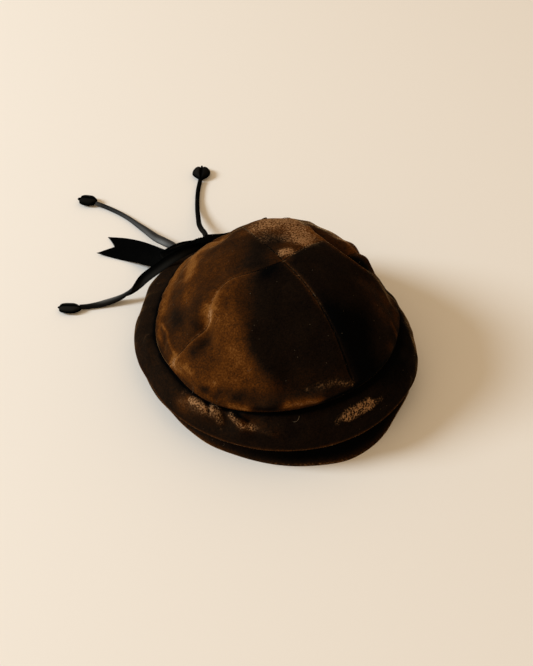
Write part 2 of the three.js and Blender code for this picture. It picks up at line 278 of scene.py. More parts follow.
# soft clouds where the pile lies another way, the grain of the pile itself, and the relief of both
def makePileGroup():
    look = velvetPile
    group, given, wanted = newGroup(
        "velvetPile",
        [
            ("Place", "NodeSocketVector", None),
            ("Cloud Scale", "NodeSocketFloat", look["cloudScale"]),
            ("Crush Scale", "NodeSocketFloat", look["crushScale"]),
            ("Grain Scale", "NodeSocketFloat", look["grainScale"]),
        ],
        ["Clouds", "Grain", "Specks", "Height"],
    )
    place = given["Place"]
    speckScale = calculate(group, "MULTIPLY", given["Grain Scale"], look["speckScale"])
    clouds = noise(group, place, given["Cloud Scale"], detail=3.0, roughness=0.55, distortion=0.6)
    crush = noise(group, place, given["Crush Scale"], detail=2.0, distortion=0.4)
    grain = noise(group, place, given["Grain Scale"], detail=3.0, roughness=0.65)
    specks = noise(group, place, speckScale, detail=2.0, roughness=0.6)
    group.links.new(blend(group, crush, clouds, look["cloudShares"]), wanted["Clouds"])
    group.links.new(grain, wanted["Grain"])
    group.links.new(specks, wanted["Specks"])
    group.links.new(blend(group, crush, grain, look["reliefShares"]), wanted["Height"])
    return group


wovenThreads = {
    "thread": 0.0005,
    "floatLength": 0.006,
    "reliefShares": (0.5, 0.25),        # of the warp and the weft
    "streakRelief": 0.8,
}


# fine threads that run along a woven cloth or ribbon, from the cloth's own two directions
def makeThreadGroup():
    look = wovenThreads
    group, given, wanted = newGroup(
        "wovenThreads",
        [
            ("Along", "NodeSocketFloat", 0.0),
            ("Across", "NodeSocketFloat", 0.0),
            ("Thread", "NodeSocketFloat", look["thread"]),
            ("Float Length", "NodeSocketFloat", look["floatLength"]),
        ],
        ["Shade", "Height"],
    )
    lengthwise = calculate(group, "DIVIDE", given["Along"], given["Float Length"])
    widthwise = calculate(group, "DIVIDE", given["Across"], given["Thread"])
    crossing = calculate(group, "DIVIDE", given["Along"], given["Thread"])
    place = addNode(group, "ShaderNodeCombineXYZ", {"X": lengthwise, "Y": widthwise}).outputs[0]
    streaks = noise(group, place, 1.0, detail=2.0, roughness=0.6)
    warp = calculate(group, "SINE", calculate(group, "MULTIPLY", widthwise, 2 * math.pi))
    weft = calculate(group, "SINE", calculate(group, "MULTIPLY", crossing, 2 * math.pi))
    relief = blend(group, warp, weft, look["reliefShares"])
    group.links.new(streaks, wanted["Shade"])
    relief = calculate(group, "MULTIPLY_ADD", streaks, look["streakRelief"], relief)
    group.links.new(relief, wanted["Height"])
    return group


pileGroup = makePileGroup()
threadGroup = makeThreadGroup()


def newMaterial(name):
    material = bpy.data.materials.new(name)
    material.use_nodes = True
    tree = material.node_tree
    tree.nodes.clear()
    shader = addNode(tree, "ShaderNodeBsdfPrincipled", {})
    output = tree.nodes.new("ShaderNodeOutputMaterial")
    tree.links.new(shader.outputs[0], output.inputs["Surface"])
    return material, tree, shader


def setShader(shader, values):
    for key, value in values.items():
        shader.inputs[key].default_value = value


def addBump(tree, shader, height, look):
    inputs = {"Height": height, "Distance": look["bumpDepth"], "Strength": look["bumpStrength"]}
    tree.links.new(addNode(tree, "ShaderNodeBump", inputs).outputs[0], shader.inputs["Normal"])


def addGroup(tree, group, inputs):
    return addNode(tree, "ShaderNodeGroup", inputs, node_tree=group).outputs


# the threads follow the cloth's own lengths along and across
def addThreads(tree, thread, floatLength):
    return addGroup(tree, threadGroup, {
        "Along": readValue(tree, "along"),
        "Across": readValue(tree, "across"),
        "Thread": thread,
        "Float Length": floatLength,
    })


brownVelvet = {
    # the pile's colour by how it lies and by painted light and shade: first away from the light and painted
    # shaded, last brushed towards it and painted lit
    "stops": [
        (0.00, (0.0010, 0.0010, 0.0010, 1)),
        (0.25, (0.0078, 0.0044, 0.0025, 1)),
        (0.60, (0.0300, 0.0106, 0.0028, 1)),
        (1.00, (0.0730, 0.0225, 0.0033, 1)),
        (1.60, (0.1700, 0.0660, 0.0140, 1)),
    ],
    "worn": (0.280, 0.145, 0.062, 1),        # crushed pile, where the ground shows, and painted shine
    "clouds": 1.3,
    "grain": 1.7,
    "leastMottle": 0.10,
    "specks": 5.4,
    "fullSpecks": 0.7,          # the wear at which rubbed pile has all its specks
    "wornRange": (0.10, 1.20),
    "roughness": (0.95, 0.75),  # of whole pile and of worn pile
    "specular": 0.01,
    "sheen": 0.46,
    "pressedShadedSheen": 0.03,       # where the pile is pressed flat by the crease and the crown's edge is painted shaded, with almost no sheen
    "sheenRoughness": 0.18,
    "sheenTint": (0.95, 0.57, 0.25, 1),
    "bumpDepth": 0.0007,
    "bumpStrength": 0.7,
}


def makeBrownVelvet(name, sheen):
    look = brownVelvet
    material, tree, shader = newMaterial(name)
    pile = addGroup(tree, pileGroup, {"Place": objectPlace(tree)})
    lieAndLight = readValue(tree, "napAndLight")
    wearAndShine = readValue(tree, "wearAndShine")
    clouds = fromMiddle(tree, pile["Clouds"])
    grain = fromMiddle(tree, pile["Grain"])
    specks = fromMiddle(tree, pile["Specks"])
    # a lighter pile shows more of its clouds and grain than a dark one
    depth = calculate(tree, "ADD", calculate(tree, "MAXIMUM", lieAndLight, 0.0), look["leastMottle"])
    mottle = calculate(tree, "MULTIPLY", clouds, look["clouds"])
    mottle = calculate(tree, "MULTIPLY_ADD", grain, look["grain"], mottle)
    shade = calculate(tree, "MULTIPLY_ADD", mottle, depth, lieAndLight)
    colour = colourRamp(tree, shade, look["stops"])
    # rubbed pile and painted shine break up into specks
    specks = calculate(tree, "MULTIPLY_ADD", specks, look["specks"], clouds)
    worn = calculate(tree, "MULTIPLY_ADD", specks, remap(tree, wearAndShine, 0.0, look["fullSpecks"]), wearAndShine)
    worn = remap(tree, worn, *look["wornRange"])
    tree.links.new(mixColour(tree, worn, colour, look["worn"]), shader.inputs["Base Color"])
    tree.links.new(remap(tree, worn, 0.0, 1.0, *look["roughness"]), shader.inputs["Roughness"])
    setShader(shader, {
        "Specular IOR Level": look["specular"],
        "Sheen Weight": sheen,
        "Sheen Roughness": look["sheenRoughness"],
        "Sheen Tint": look["sheenTint"],
    })
    addBump(tree, shader, pile["Height"], look)
    return material


clothBack = {
    "colour": (0.036, 0.019, 0.010, 1),
    "lighter": (0.062, 0.035, 0.019, 1),
    "thread": 0.0006,
    "floatLength": 0.0018,
    "cloudScale": 55.0,
    "shadeShares": (0.6, 0.5),          # of the threads and the clouds
    "shadeRange": (0.3, 0.8),
    "roughness": 0.92,
    "specular": 0.15,
    "bumpDepth": 0.0002,
    "bumpStrength": 0.5,
}


def makeClothBack():
    look = clothBack
    material, tree, shader = newMaterial("velvetWrongSide")
    woven = addThreads(tree, look["thread"], look["floatLength"])
    clouds = noise(tree, objectPlace(tree), look["cloudScale"], detail=3.0)
    shade = remap(tree, blend(tree, woven["Shade"], clouds, look["shadeShares"]), *look["shadeRange"])
    tree.links.new(mixColour(tree, shade, look["colour"], look["lighter"]), shader.inputs["Base Color"])
    setShader(shader, {"Roughness": look["roughness"], "Specular IOR Level": look["specular"]})
    addBump(tree, shader, woven["Height"], look)
    return material


ribbonPile = {
    "deep": (0.0008, 0.0010, 0.0010, 1),
    # pile lifted by its grain and clouds, and the painted shine along a ribbon
    "liftedAndShine": (0.0165, 0.0155, 0.0138, 1),
    "scales": {"Cloud Scale": 160.0, "Crush Scale": 420.0, "Grain Scale": 2200.0},
    "liftShares": (0.5, 0.5),           # of the grain and the clouds
    "liftRange": (0.42, 0.72),
    "mostLift": 0.08,           # where neither wear nor painted shine lifts it
    "roughness": (0.96, 0.8),
    "specular": 0.01,
    "sheen": 0.002,
    "sheenRoughness": 0.35,
    "sheenTint": (0.75, 0.72, 0.68, 1),
    "bumpDepth": 0.0005,
    "bumpStrength": 0.5,
}


def makeRibbonPile():
    look = ribbonPile
    material, tree, shader = newMaterial("blackVelvet")
    pile = addGroup(tree, pileGroup, {"Place": objectPlace(tree), **look["scales"]})
    liftedAndShine = blend(tree, pile["Grain"], pile["Clouds"], look["liftShares"])
    liftedAndShine = remap(tree, liftedAndShine, *look["liftRange"])
    liftedAndShine = calculate(tree, "MULTIPLY_ADD", liftedAndShine, look["mostLift"], readValue(tree, "wearAndShine"), clamp=True)
    tree.links.new(mixColour(tree, liftedAndShine, look["deep"], look["liftedAndShine"]), shader.inputs["Base Color"])
    tree.links.new(remap(tree, liftedAndShine, 0.0, 1.0, *look["roughness"]), shader.inputs["Roughness"])
    setShader(shader, {
        "Specular IOR Level": look["specular"],
        "Sheen Weight": look["sheen"],
        "Sheen Roughness": look["sheenRoughness"],
        "Sheen Tint": look["sheenTint"],
    })
    addBump(tree, shader, pile["Height"], look)
    return material


ribbonSatin = {
    "colour": (0.0012, 0.0013, 0.0015, 1),
    "lighter": (0.0028, 0.0029, 0.0031, 1),
    "paintedShine": (0.155, 0.160, 0.160, 1),    # painted highlight along the ribbon, where the floats would catch the lamp
    "thread": 0.00035,
    "floatLength": 0.009,
    "shadeRange": (0.3, 0.75),
    "roughRange": (0.2, 0.8),
    "roughness": (0.30, 0.42),
    "specular": 0.05,
    "bumpDepth": 0.00008,
    "bumpStrength": 0.5,
}


def makeRibbonSatin():
    look = ribbonSatin
    material, tree, shader = newMaterial("blackSatin")
    woven = addThreads(tree, look["thread"], look["floatLength"])
    shade = remap(tree, woven["Shade"], *look["shadeRange"])
    colour = mixColour(tree, shade, look["colour"], look["lighter"])
    colour = mixColour(tree, readValue(tree, "wearAndShine"), colour, look["paintedShine"])
    rough = remap(tree, woven["Shade"], *look["roughRange"], *look["roughness"])
    tree.links.new(colour, shader.inputs["Base Color"])
    tree.links.new(rough, shader.inputs["Roughness"])
    setShader(shader, {"Specular IOR Level": look["specular"]})
    addBump(tree, shader, woven["Height"], look)
    return material


velvet = makeBrownVelvet("brownVelvet", brownVelvet["sheen"])
pressedShadedVelvet = makeBrownVelvet("pressedShadedVelvet", brownVelvet["pressedShadedSheen"])
wrongSide = makeClothBack()
blackPile = makeRibbonPile()
satin = makeRibbonSatin()
print("materials made")

# Ribbons


# a smooth route through rows of x, y, z and whatever else the row holds
def routeThrough(rows, count):
    rows = np.asarray(rows, float)
    stations = np.linspace(0, 1, len(rows))
    at = np.linspace(0, 1, count)
    return np.stack([smoothBetween(stations, rows[:, k], at) for k in range(rows.shape[1])], axis=1)


def ribbonFrame(line, twist):
    ahead = unit(np.gradient(line, axis=0))
    level = unit(np.stack([ahead[:, 1], -ahead[:, 0], np.zeros(len(line))], axis=1))
    turn = np.radians(twist)[:, None]
    across = level * np.cos(turn) + np.cross(ahead, level) * np.sin(turn)
    return across, np.cross(across, ahead)


ribbonShape = {
    "leastCurl": 1e-3,          # a flat ribbon is curled by this much, because its circle can't be endless
    "sharpAngle": 50,
    "shineSide": -0.40,         # where the painted shine lies across the ribbon, and how broad it is
    "shineWidth": 0.55,
}


# a strip of ribbon, curled across its width; the shares run over its width from -1 to 1
def ribbonMesh(name, line, twist, curl, widths, wall, shares, lit, edgeKind, notch=0.0, slant=0.0):
    look = ribbonShape
    across, outward = ribbonFrame(line, twist)
    along = walkedAlong(line)
    bend = np.maximum(np.abs(curl), look["leastCurl"]) * np.where(curl < 0, -1, 1)
    radius = (widths / bend)[:, None]
    turn = bend[:, None] / 2 * shares
    middle = (np.sin(bend / 2) / (bend / 2))[:, None]
    side = (radius * np.sin(turn))[..., None] * across[:, None]
    rise = (radius * (np.cos(turn) - middle))[..., None] * outward[:, None]
    normal = np.sin(turn)[..., None] * across[:, None] + np.cos(turn)[..., None] * outward[:, None]
    centre = line[:, None] + side + rise
    reach = np.repeat(along[:, None], len(shares), axis=1)
    if notch > 0:
        # a V cut, a little aslant: each line along the ribbon ends earlier towards the middle
        for k, share in enumerate(shares):
            end = along[-1] - notch * (1 - abs(share)) - slant * (1 + share) / 2
            wanted = along / along[-1] * end
            for axis in range(3):
                centre[:, k, axis] = np.interp(wanted, along, centre[:, k, axis])
                normal[:, k, axis] = np.interp(wanted, along, normal[:, k, axis])
            reach[:, k] = wanted
    top = centre + normal * wall / 2
    bottom = centre - normal * wall / 2
    rings, width = centre.shape[:2]
    ring = np.concatenate([top, bottom[:, ::-1]], axis=1)
    points = ring.reshape(-1, 3)
    size = 2 * width
    kinds = np.where(np.arange(size) < width - 1, 0, 1)
    kinds[[width - 1, size - 1]] = edgeKind
    j = np.arange(width - 1)
    last = (rings - 1) * size
    startCap = np.stack([j + 1, j, size - 1 - j, size - 2 - j], axis=-1)
    endCap = np.stack([last + j, last + j + 1, last + size - 2 - j, last + size - 1 - j], axis=-1)
    faces = np.concatenate([gridFaces(rings, size), startCap, endCap])
    kinds = np.concatenate([np.tile(kinds, rings - 1), np.full(2 * len(j), edgeKind)])
    place = shares * widths[:, None] / 2
    # painted shine: a lighter band across the ribbon, as strong as each row's shine
    shine = bell(shares - look["shineSide"], look["shineWidth"])
    wearAndShine = np.broadcast_to(lit, rings)[:, None] * shine
    values = {
        "along": np.concatenate([reach, reach[:, ::-1]], axis=1),
        "across": np.concatenate([place, place[:, ::-1]], axis=1),
        "wearAndShine": np.concatenate([wearAndShine, wearAndShine[:, ::-1]], axis=1),
    }
    return makeMesh(name, points, faces, kinds.tolist(), values, math.radians(look["sharpAngle"]))


# Ties: the narrow ribbons, each a free cord with a bud on its end

tieRibbon = {
    "width": 0.0084,
    "wall": 0.0006,
    "rings": 110,
    "strips": 17,
    "mostRise": 0.0045,
}

# a route's rows are x, y, z, twist in degrees, how far the ribbon is rolled up across its width in radians,
# and how much painted shine it has
ties = [
    {
        "name": "tie_right",
        "upper": "pile",
        "size": 0.0084,
        "bud": {
            "name": "bud_right", "length": 0.0176, "width": 0.0100, "height": 0.0070, "turn": -14,
            "blunt": 3.2, "groove": 0.18, "notch": 0.04, "nub": 0.0012, "lit": 0.8,
            "shift": (-0.0010, 0.0024, 0),
        },
        "route": [
            (0.0104, 0.0977, 0.0396, -100, -0.3, 0.0),
            (0.0016, 0.0992, 0.0412, -88, -0.3, 0.3),
            (-0.0085, 0.1024, 0.0400, -70, -0.4, 0.6),
            (-0.0195, 0.1063, 0.0352, -55, -0.6, 0.6),
            (-0.0294, 0.1112, 0.0272, -48, -0.8, 0.6),
            (-0.0382, 0.1163, 0.0188, -50, -1.2, 0.6),
            (-0.0450, 0.1186, 0.0124, -62, -2.8, 0.7),
            (-0.0516, 0.1204, 0.0080, -110, -4.2, 0.8),
            (-0.0602, 0.1230, 0.0054, -165, -3.2, 0.75),
            (-0.0711, 0.1272, 0.0034, -185, -2.8, 0.65),
            (-0.0810, 0.1316, 0.0024, -182, -4.4, 0.12),
            (-0.0896, 0.1360, 0.0030, -178, -5.0, 0.05),
        ],
    },
    {
        "name": "tie_middle",
        "upper": "satin",
        "size": 0.0084,
        "bud": {
            "name": "bud_middle", "length": 0.0158, "width": 0.0116, "height": 0.0080, "turn": 14,
            "blunt": 3.0, "groove": 0.25, "notch": 0.10, "nub": 0.0015, "lit": 0.35,
            "shift": (0, 0.0010, 0),
        },
        "route": [
            (0.0085, 0.1056, 0.0366, 0, 3.6, 0.05),
            (0.0032, 0.1118, 0.0308, 0, 3.4, 0.05),
            (0.0008, 0.1240, 0.0232, -14, 3.0, 0.08),
            (0.0008, 0.1362, 0.0185, -34, 2.7, 0.50),
            (0.0013, 0.1480, 0.0135, -46, 2.5, 0.95),
            (0.0020, 0.1609, 0.0085, -44, 2.6, 0.60),
            (0.0038, 0.1776, 0.0046, -20, 3.2, 0.38),
            (0.0034, 0.1900, 0.0032, 0, 4.2, 0.26),
            (0.0022, 0.2020, 0.0024, 0, 5.0, 0.22),
            (-0.0006, 0.2140, 0.0022, 0, 5.2, 0.12),
            (-0.0046, 0.2260, 0.0023, 0, 5.2, 0.08),
            (-0.0086, 0.2336, 0.0032, 0, 5.0, 0.30),
        ],
    },
    {
        "name": "tie_left",
        "upper": "pile",
        "size": 0.0056,
        "bud": {
            "name": "bud_left", "length": 0.0172, "width": 0.0150, "height": 0.0082, "turn": 6,
            "blunt": 2.3, "groove": 0.50, "notch": 0.20, "nub": 0.0010, "lit": 0.6,
            "shift": (0.0016, 0.0024, 0),
        },
        "route": [
            (0.0168, 0.1040, 0.0372, 0, 4.4, 0.40),
            (0.0212, 0.1131, 0.0325, 0, 4.4, 0.45),
            (0.0278, 0.1252, 0.0250, 0, 4.4, 0.40),
            (0.0332, 0.1360, 0.0176, 6, 4.4, 0.25),
            (0.0392, 0.1476, 0.0114, 10, 4.4, 0.12),
            (0.0450, 0.1568, 0.0078, 8, 4.6, 0.12),
            (0.0526, 0.1685, 0.0046, 0, 4.9, 0.12),
            (0.0604, 0.1794, 0.0028, 0, 5.1, 0.12),
            (0.0669, 0.1877, 0.0022, 0, 5.2, 0.12),
            (0.0723, 0.1939, 0.0022, 0, 5.2, 0.12),
            (0.0777, 0.1993, 0.0024, 0, 5.2, 0.12),
            (0.0810, 0.2024, 0.0030, 0, 5.2, 0.12),
        ],
    },
]


def makeTie(tie):
    look = tieRibbon
    route = routeThrough(tie["route"], look["rings"])
    line = route[:, :3]
    twist, curl, shine = route[:, 3:].T
    widths = np.full(len(line), look["width"])
    # a rolled ribbon stands on its edges, so its middle line rises to keep them on the table
    roll = np.maximum(np.abs(curl), ribbonShape["leastCurl"])
    hang = widths / roll * (np.sin(roll / 2) / (roll / 2) - np.cos(roll / 2))
    tip = np.abs(np.sin(np.radians(twist))) * widths / 2
    line[:, 2] = np.maximum(line[:, 2], np.minimum(hang + tip, look["mostRise"]) + look["wall"])
    shares = np.linspace(-1, 1, look["strips"])
    faces = [satin, blackPile] if tie["upper"] == "satin" else [blackPile, satin]
    edgeKind = faces.index(blackPile)
    mesh = ribbonMesh(tie["name"], line, twist, curl, widths, look["wall"], shares, shine, edgeKind)
    return addPiece(tie["name"], "_ribbon", mesh, faces), line


# Buds: two soft lobes folded together over a raised middle, with a pinched neck and a nub

budShape = {
    "around": 64,
    "along": 48,
    "grooveWidth": 0.16,
    "notchWidth": 0.34,
    "notchRange": (0.1, 0.9),
    "neck": 0.40,
    "neckRange": (-0.3, -1.0),
    "underside": 0.7,
    "rim": 0.06,                # the waist swells into a thin rim where the two halves meet
    "rimWidth": 0.12,
    "litRise": (0.15, 0.8),    # painted light on top, away from the groove, and more on one lobe than on the other
    "litAway": (0.10, 0.3),
    "litEven": 0.75,
    "litLobe": 0.25,
}

budNub = {"rows": 13, "around": 16, "length": 1.6, "ahead": 0.45, "up": 0.1, "wearAndShine": 0.05}


def ballGrid(rows, around):
    rise = np.linspace(0, math.pi, rows)
    turn = np.linspace(0, 2 * math.pi, around, endpoint=False)
    return np.meshgrid(rise, turn, indexing="ij")


def budLobes(bud):
    look = budShape
    rise, turn = ballGrid(look["along"] + 1, look["around"])
    y = -np.cos(rise)
    girthShare = np.maximum(0, 1 - np.abs(y) ** bud["blunt"]) ** (1 / bud["blunt"])
    x = girthShare * np.cos(turn)
    z = girthShare * np.sin(turn)
    groove = bell(x, look["grooveWidth"])
    wearAndShine = bud["lit"] * soften(*look["litRise"], z) * soften(*look["litAway"], np.abs(x))
    wearAndShine = wearAndShine * (look["litEven"] - look["litLobe"] * np.sign(x))
    z = z - np.maximum(z, 0) * groove * bud["groove"]
    z = np.where(z < 0, z * look["underside"], z)
    rim = 1 + look["rim"] * bell(z, look["rimWidth"])
    x = x * rim * (1 - look["neck"] * soften(*look["neckRange"], y))
    y = y * (1 - bud["notch"] * bell(x, look["notchWidth"]) * soften(*look["notchRange"], y))
    sizes = [bud["width"] / 2, bud["length"] / 2, bud["height"] / 2]
    return np.stack([x, y, z], axis=-1) * sizes, wearAndShine


def budKnob(bud):
    look = budNub
    rise, turn = ballGrid(look["rows"], look["around"])
    y = -look["length"] * np.cos(rise)
    knob = np.stack([np.sin(rise) * np.cos(turn), y, np.sin(rise) * np.sin(turn)], axis=-1)
    return knob * bud["nub"] + np.array([0, bud["length"] * look["ahead"], bud["height"] * look["up"]])


def makeBud(tie):
    bud = tie["bud"]
    lobes, lobeLight = budLobes(bud)
    knob = budKnob(bud)
    points = np.concatenate([lobes.reshape(-1, 3), knob.reshape(-1, 3)])
    faces = np.concatenate([
        gridFaces(lobes.shape[0], lobes.shape[1]),
        gridFaces(knob.shape[0], knob.shape[1], lobes.shape[0] * lobes.shape[1]),
    ])[:, ::-1]
    before = np.array(tie["route"][-2][:3])
    last = np.array(tie["route"][-1][:3])
    ahead = unit((last - before) * np.array([1, 1, 0]))
    angle = math.atan2(ahead[1], ahead[0]) - math.pi / 2 + math.radians(bud["turn"])
    cosine = math.cos(angle)
    sine = math.sin(angle)
    turned = np.array([[cosine, -sine, 0], [sine, cosine, 0], [0, 0, 1]])
    low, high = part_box(bud["name"])
    centre = np.array((low + high) / 2) - hatAxis + np.array(bud["shift"])
    centre[2] = -points[:, 2].min()
    values = {"wearAndShine": np.concatenate([lobeLight.ravel(), np.full(knob.size // 3, budNub["wearAndShine"])])}
    mesh = makeMesh(bud["name"], points @ turned.T + centre, faces, [0] * len(faces), values)
    return addPiece(bud["name"], "_velvet", mesh, [blackPile])


for tie in ties:
    ribbon, middleLine = makeTie(tie)
    bud = makeBud(tie)
print("ties and buds laid")

# Light and floor

studio = {
    "keyElevation": 32.0,
    "keyDistance": 3.0,
    "keySize": 1.05,
    "keyPower": 76.0,
    "keyColour": (0.88, 1.0, 1.085),
    "around": (0.62, 0.46, 0.29, 1),
    "floorColour": (0.85, 0.82, 0.78, 1),
    "floorRoughness": 0.9,
    "floorSpecular": 0.1,
    "floorSize": 12.0,
    "floorDrop": 0.0002,
}


def makeStudio():
    scene.view_settings.view_transform = "Standard"
    lamp = bpy.data.lights.new("keyLight", "AREA")
    lamp.shape = "DISK"
    lamp.size = studio["keySize"]
    lamp.energy = studio["keyPower"]
    lamp.color = studio["keyColour"]
    key = bpy.data.objects.new("keyLight", lamp)
    scene.collection.objects.link(key)
    # from the left of the picture
    leftward = awayFrom(photoView["azimuth"] - 90, studio["keyElevation"])
    aimAt(key, hatAxis + leftward * studio["keyDistance"], hatAxis)
    world = bpy.data.worlds.new("studio")
    world.use_nodes = True
    around = world.node_tree.nodes["Background"]
    around.inputs["Color"].default_value = studio["around"]
    scene.world = world
    half = studio["floorSize"] / 2
    corners = [(-half, -half), (half, -half), (half, half), (-half, half)]
    mesh = bpy.data.meshes.new("floor")
    mesh.from_pydata([(x, y, -studio["floorDrop"]) for x, y in corners], [], [(0, 1, 2, 3)])
    material, _, shader = newMaterial("palePaper")
    setShader(shader, {
        "Base Color": studio["floorColour"],
        "Roughness": studio["floorRoughness"],
        "Specular IOR Level": studio["floorSpecular"],
    })
    addObject("floor", mesh, [material])


makeStudio()
print("floor and light set")

# Crown

crown = {
    "height": 0.099,
    "girthHeight": 0.0257,
    "girthRadius": 0.0972,
    "domePower": 1.79,
    "apexShift": (0.0055, -0.003),
    "creaseHeight": 0.040,
    "creaseTilt": 0.004,
    "wall": 0.002,
    "seamGroove": 0.00035,
    "seamWidth": 0.0008,
    "seamDip": 0.0007,
    "seamDipWidth": 0.004,
    "puff": 0.0022,             # how far the cloth bulges over the crease, at which level and how broadly
    "puffLevel": 0.05,
    "puffReach": 0.06,
    "gather": 0.00055,
    "gatherReach": 0.07,
    "held": 0.05,               # the level up to which the crease holds the cloth
    "slack": 0.0004,
    "columns": 110,
    "rows": 100,
    "evenShare": 0.4,           # the rest of the columns' spacing closes up by the seams
    "clothHeight": 0.13,        # for the threads of the wrong side
    "clothRadius": 0.08,
}

# times round, cosine and sine of each wave of the girth
girthWaves = [(1, 0.0009, -0.0011), (2, -0.0005, 0.0037), (3, -0.0029, -0.0004)]

# on the right side the crown's edge is tucked in, and both brims with it; turns in degrees, reach in levels
edgeTuck = {"middle": 179, "width": 19, "depth": 0.0048, "reach": 0.14}

seamLevels = [0, 0.25, 0.45, 0.65, 0.85, 1]
seams = {
    "front": [-92, -92, -91, -90, -90, -92],
    "left": [-4, -4, -9, 8, 10, 10],
    "back": [75, 76, 77, 80, 82, 82],
    "right": [173, 178, 176, 157, 166, 168],
}

# folds and dents: a line of (angle, level), its width and its lift
crownFolds = [
    ([(186, 0.33), (178, 0.42)], 0.0070, -0.0040),    # pinch on the right seam
    ([(168, 0.50)], 0.0120, 0.0020),
    ([(172, 0.62), (214, 0.41), (227, 0.24)], 0.0090, 0.0022),    # front ridge
    ([(243, 0.55), (250, 0.30)], 0.0240, -0.0030),
    ([(27, 0.58), (12, 0.61), (-8, 0.59), (-19, 0.53), (-28, 0.42)], 0.0042, 0.0026),    # left ridge
    ([(44, 0.46), (36, 0.53), (27, 0.58)], 0.0040, 0.0010),
    ([(22, 0.49), (12, 0.51), (-6, 0.49), (-20, 0.42)], 0.0055, -0.0028),    # hollow beyond it
    ([(44, 0.36), (34, 0.35)], 0.0080, 0.0014),
    ([(2, 0.30), (-8, 0.31), (-14, 0.34)], 0.0065, 0.0024),
    ([(-7, 0.13), (-16, 0.09), (-24, 0.08)], 0.0100, -0.0036),    # pushed in on the left side
    ([(76, 0.34), (70, 0.38)], 0.0080, -0.0046),
    ([(164, 0.05), (178, 0.03), (190, 0.02)], 0.0055, -0.0032),
    ([(4, 0.40), (-10, 0.38), (-20, 0.30)], 0.0050, 0.0016),
    ([(14, 0.24)], 0.0180, 0.0020),
    ([(88, 0.10), (83, 0.20), (82, 0.26), (90, 0.38)], 0.0085, -0.0056),    # pushed in over the bow
    ([(70, 0.52), (48, 0.52)], 0.0170, 0.0030),    # fuller behind the top
    ([(128, 0.70)], 0.0070, -0.0018),    # dimples by the top
    ([(140, 0.58)], 0.0080, -0.0015),
    ([(150, 0.30), (140, 0.15)], 0.0120, -0.0020),
    ([(228, 0.06), (252, 0.06)], 0.0055, 0.0030),    # lower edge hangs over the brim
    ([(204, 0.07), (216, 0.06)], 0.0050, -0.0012),
    ([(184, 0.38), (196, 0.31)], 0.0030, -0.0010),    # creases that run from the pinch
    ([(181, 0.40), (170, 0.30), (166, 0.20)], 0.0032, -0.0009),
    ([(176, 0.47), (172, 0.56)], 0.0030, 0.0009),
    ([(118, 0.12), (126, 0.30)], 0.0040, -0.0009),
    ([(150, 0.11), (160, 0.16), (169, 0.14), (173, 0.13)], 0.0020, 0.0009),    # runs to the right seam
    ([(150, 0.08), (152, 0.20)], 0.0030, -0.0009),
    ([(-40, 0.20), (-28, 0.36)], 0.0050, 0.0009),
    ([(60, 0.15), (52, 0.38)], 0.0060, -0.0011),
    ([(36, 0.20), (30, 0.42)], 0.0050, 0.0009),
]


def bumpRound(angle, middle, width):
    turn = np.radians(angle - middle)
    return bell(np.arctan2(np.sin(turn), np.cos(turn)), math.radians(width))


# rows of middle and width in degrees, and amount
def bumps(angle, rows):
    return [amount * bumpRound(angle, middle, width) for middle, width, amount in rows]


def girth(angle):
    radius = np.full(np.shape(angle), crown["girthRadius"])
    for turns, cosine, sine in girthWaves:
        turn = np.radians(angle * turns)
        radius = radius + cosine * np.cos(turn) + sine * np.sin(turn)
    return radius


def creaseLevel(angle):
    return crown["creaseHeight"] - crown["creaseTilt"] * np.sin(np.radians(angle))


def domeShare(height):
    rise = (height - crown["girthHeight"]) / (crown["height"] - crown["girthHeight"])
    return np.maximum(0, 1 - rise ** crown["domePower"]) ** (1 / crown["domePower"])


def tuckDepth(angle):
    return edgeTuck["depth"] * bumpRound(angle, edgeTuck["middle"], edgeTuck["width"])


def creaseRadius(angle):
    return girth(angle) * domeShare(creaseLevel(angle)) - tuckDepth(angle)


def roundPlaces(angle, radius, height):
    turn = np.radians(angle)
    return np.stack([radius * np.cos(turn), radius * np.sin(turn), height], axis=-1)


def domePoint(angle, level):
    angle = np.asarray(angle, float)
    level = np.asarray(level, float)
    crease = creaseLevel(angle)
    rise = np.sin(level * math.pi / 2)
    height = crease + (crown["height"] - crease) * rise
    radius = np.where(level >= 1, 0, girth(angle) * domeShare(np.minimum(height, crown["height"])))
    x = crown["apexShift"][0] * rise + radius * np.cos(np.radians(angle))
    y = crown["apexShift"][1] * rise + radius * np.sin(np.radians(angle))
    return np.stack([x, y, height], axis=-1)


def domeNormal(angle, level):
    step = 0.01
    low = np.minimum(level, 1 - 2 * step)
    here = domePoint(angle, low)
    normal = unit(np.cross(domePoint(angle + 1, low) - here, domePoint(angle, low + step) - here))
    share = soften(1 - 4 * step, 1, level)[..., None]
    return unit(normal * (1 - share) + np.array([0, 0, 1.0]) * share)


# distance of points from a line that is drawn on the cloth
def lineDistance(points, line):
    if len(line) == 1:
        return np.linalg.norm(points - line[0], axis=-1)
    best = np.full(points.shape[:-1], np.inf)
    for start, end in zip(line[:-1], line[1:]):
        span = end - start
        share = np.clip((points - start) @ span / (span @ span), 0, 1)
        best = np.minimum(best, np.linalg.norm(points - start - share[..., None] * span, axis=-1))
    return best


# soft marks along lines; a fuller mark has a flatter middle and a firmer edge
def marksOn(points, surface, marks, fullness=1.0):
    total = np.zeros(points.shape[:-1])
    for line, width, amount in marks:
        drawn = surface(np.array([a for a, _ in line], float), np.array([b for _, b in line], float))
        mark = fullness * bell(lineDistance(points, drawn), width)
        total += amount * np.minimum(mark, 1)
    return total


def seamDistances(angle, level, points):
    radius = np.hypot(points[..., 0] - crown["apexShift"][0], points[..., 1] - crown["apexShift"][1])
    away = {}
    for name, angles in seams.items():
        turn = np.radians(angle - smoothBetween(seamLevels, angles, level))
        away[name] = np.abs(np.arctan2(np.sin(turn), np.cos(turn))) * radius
    return away


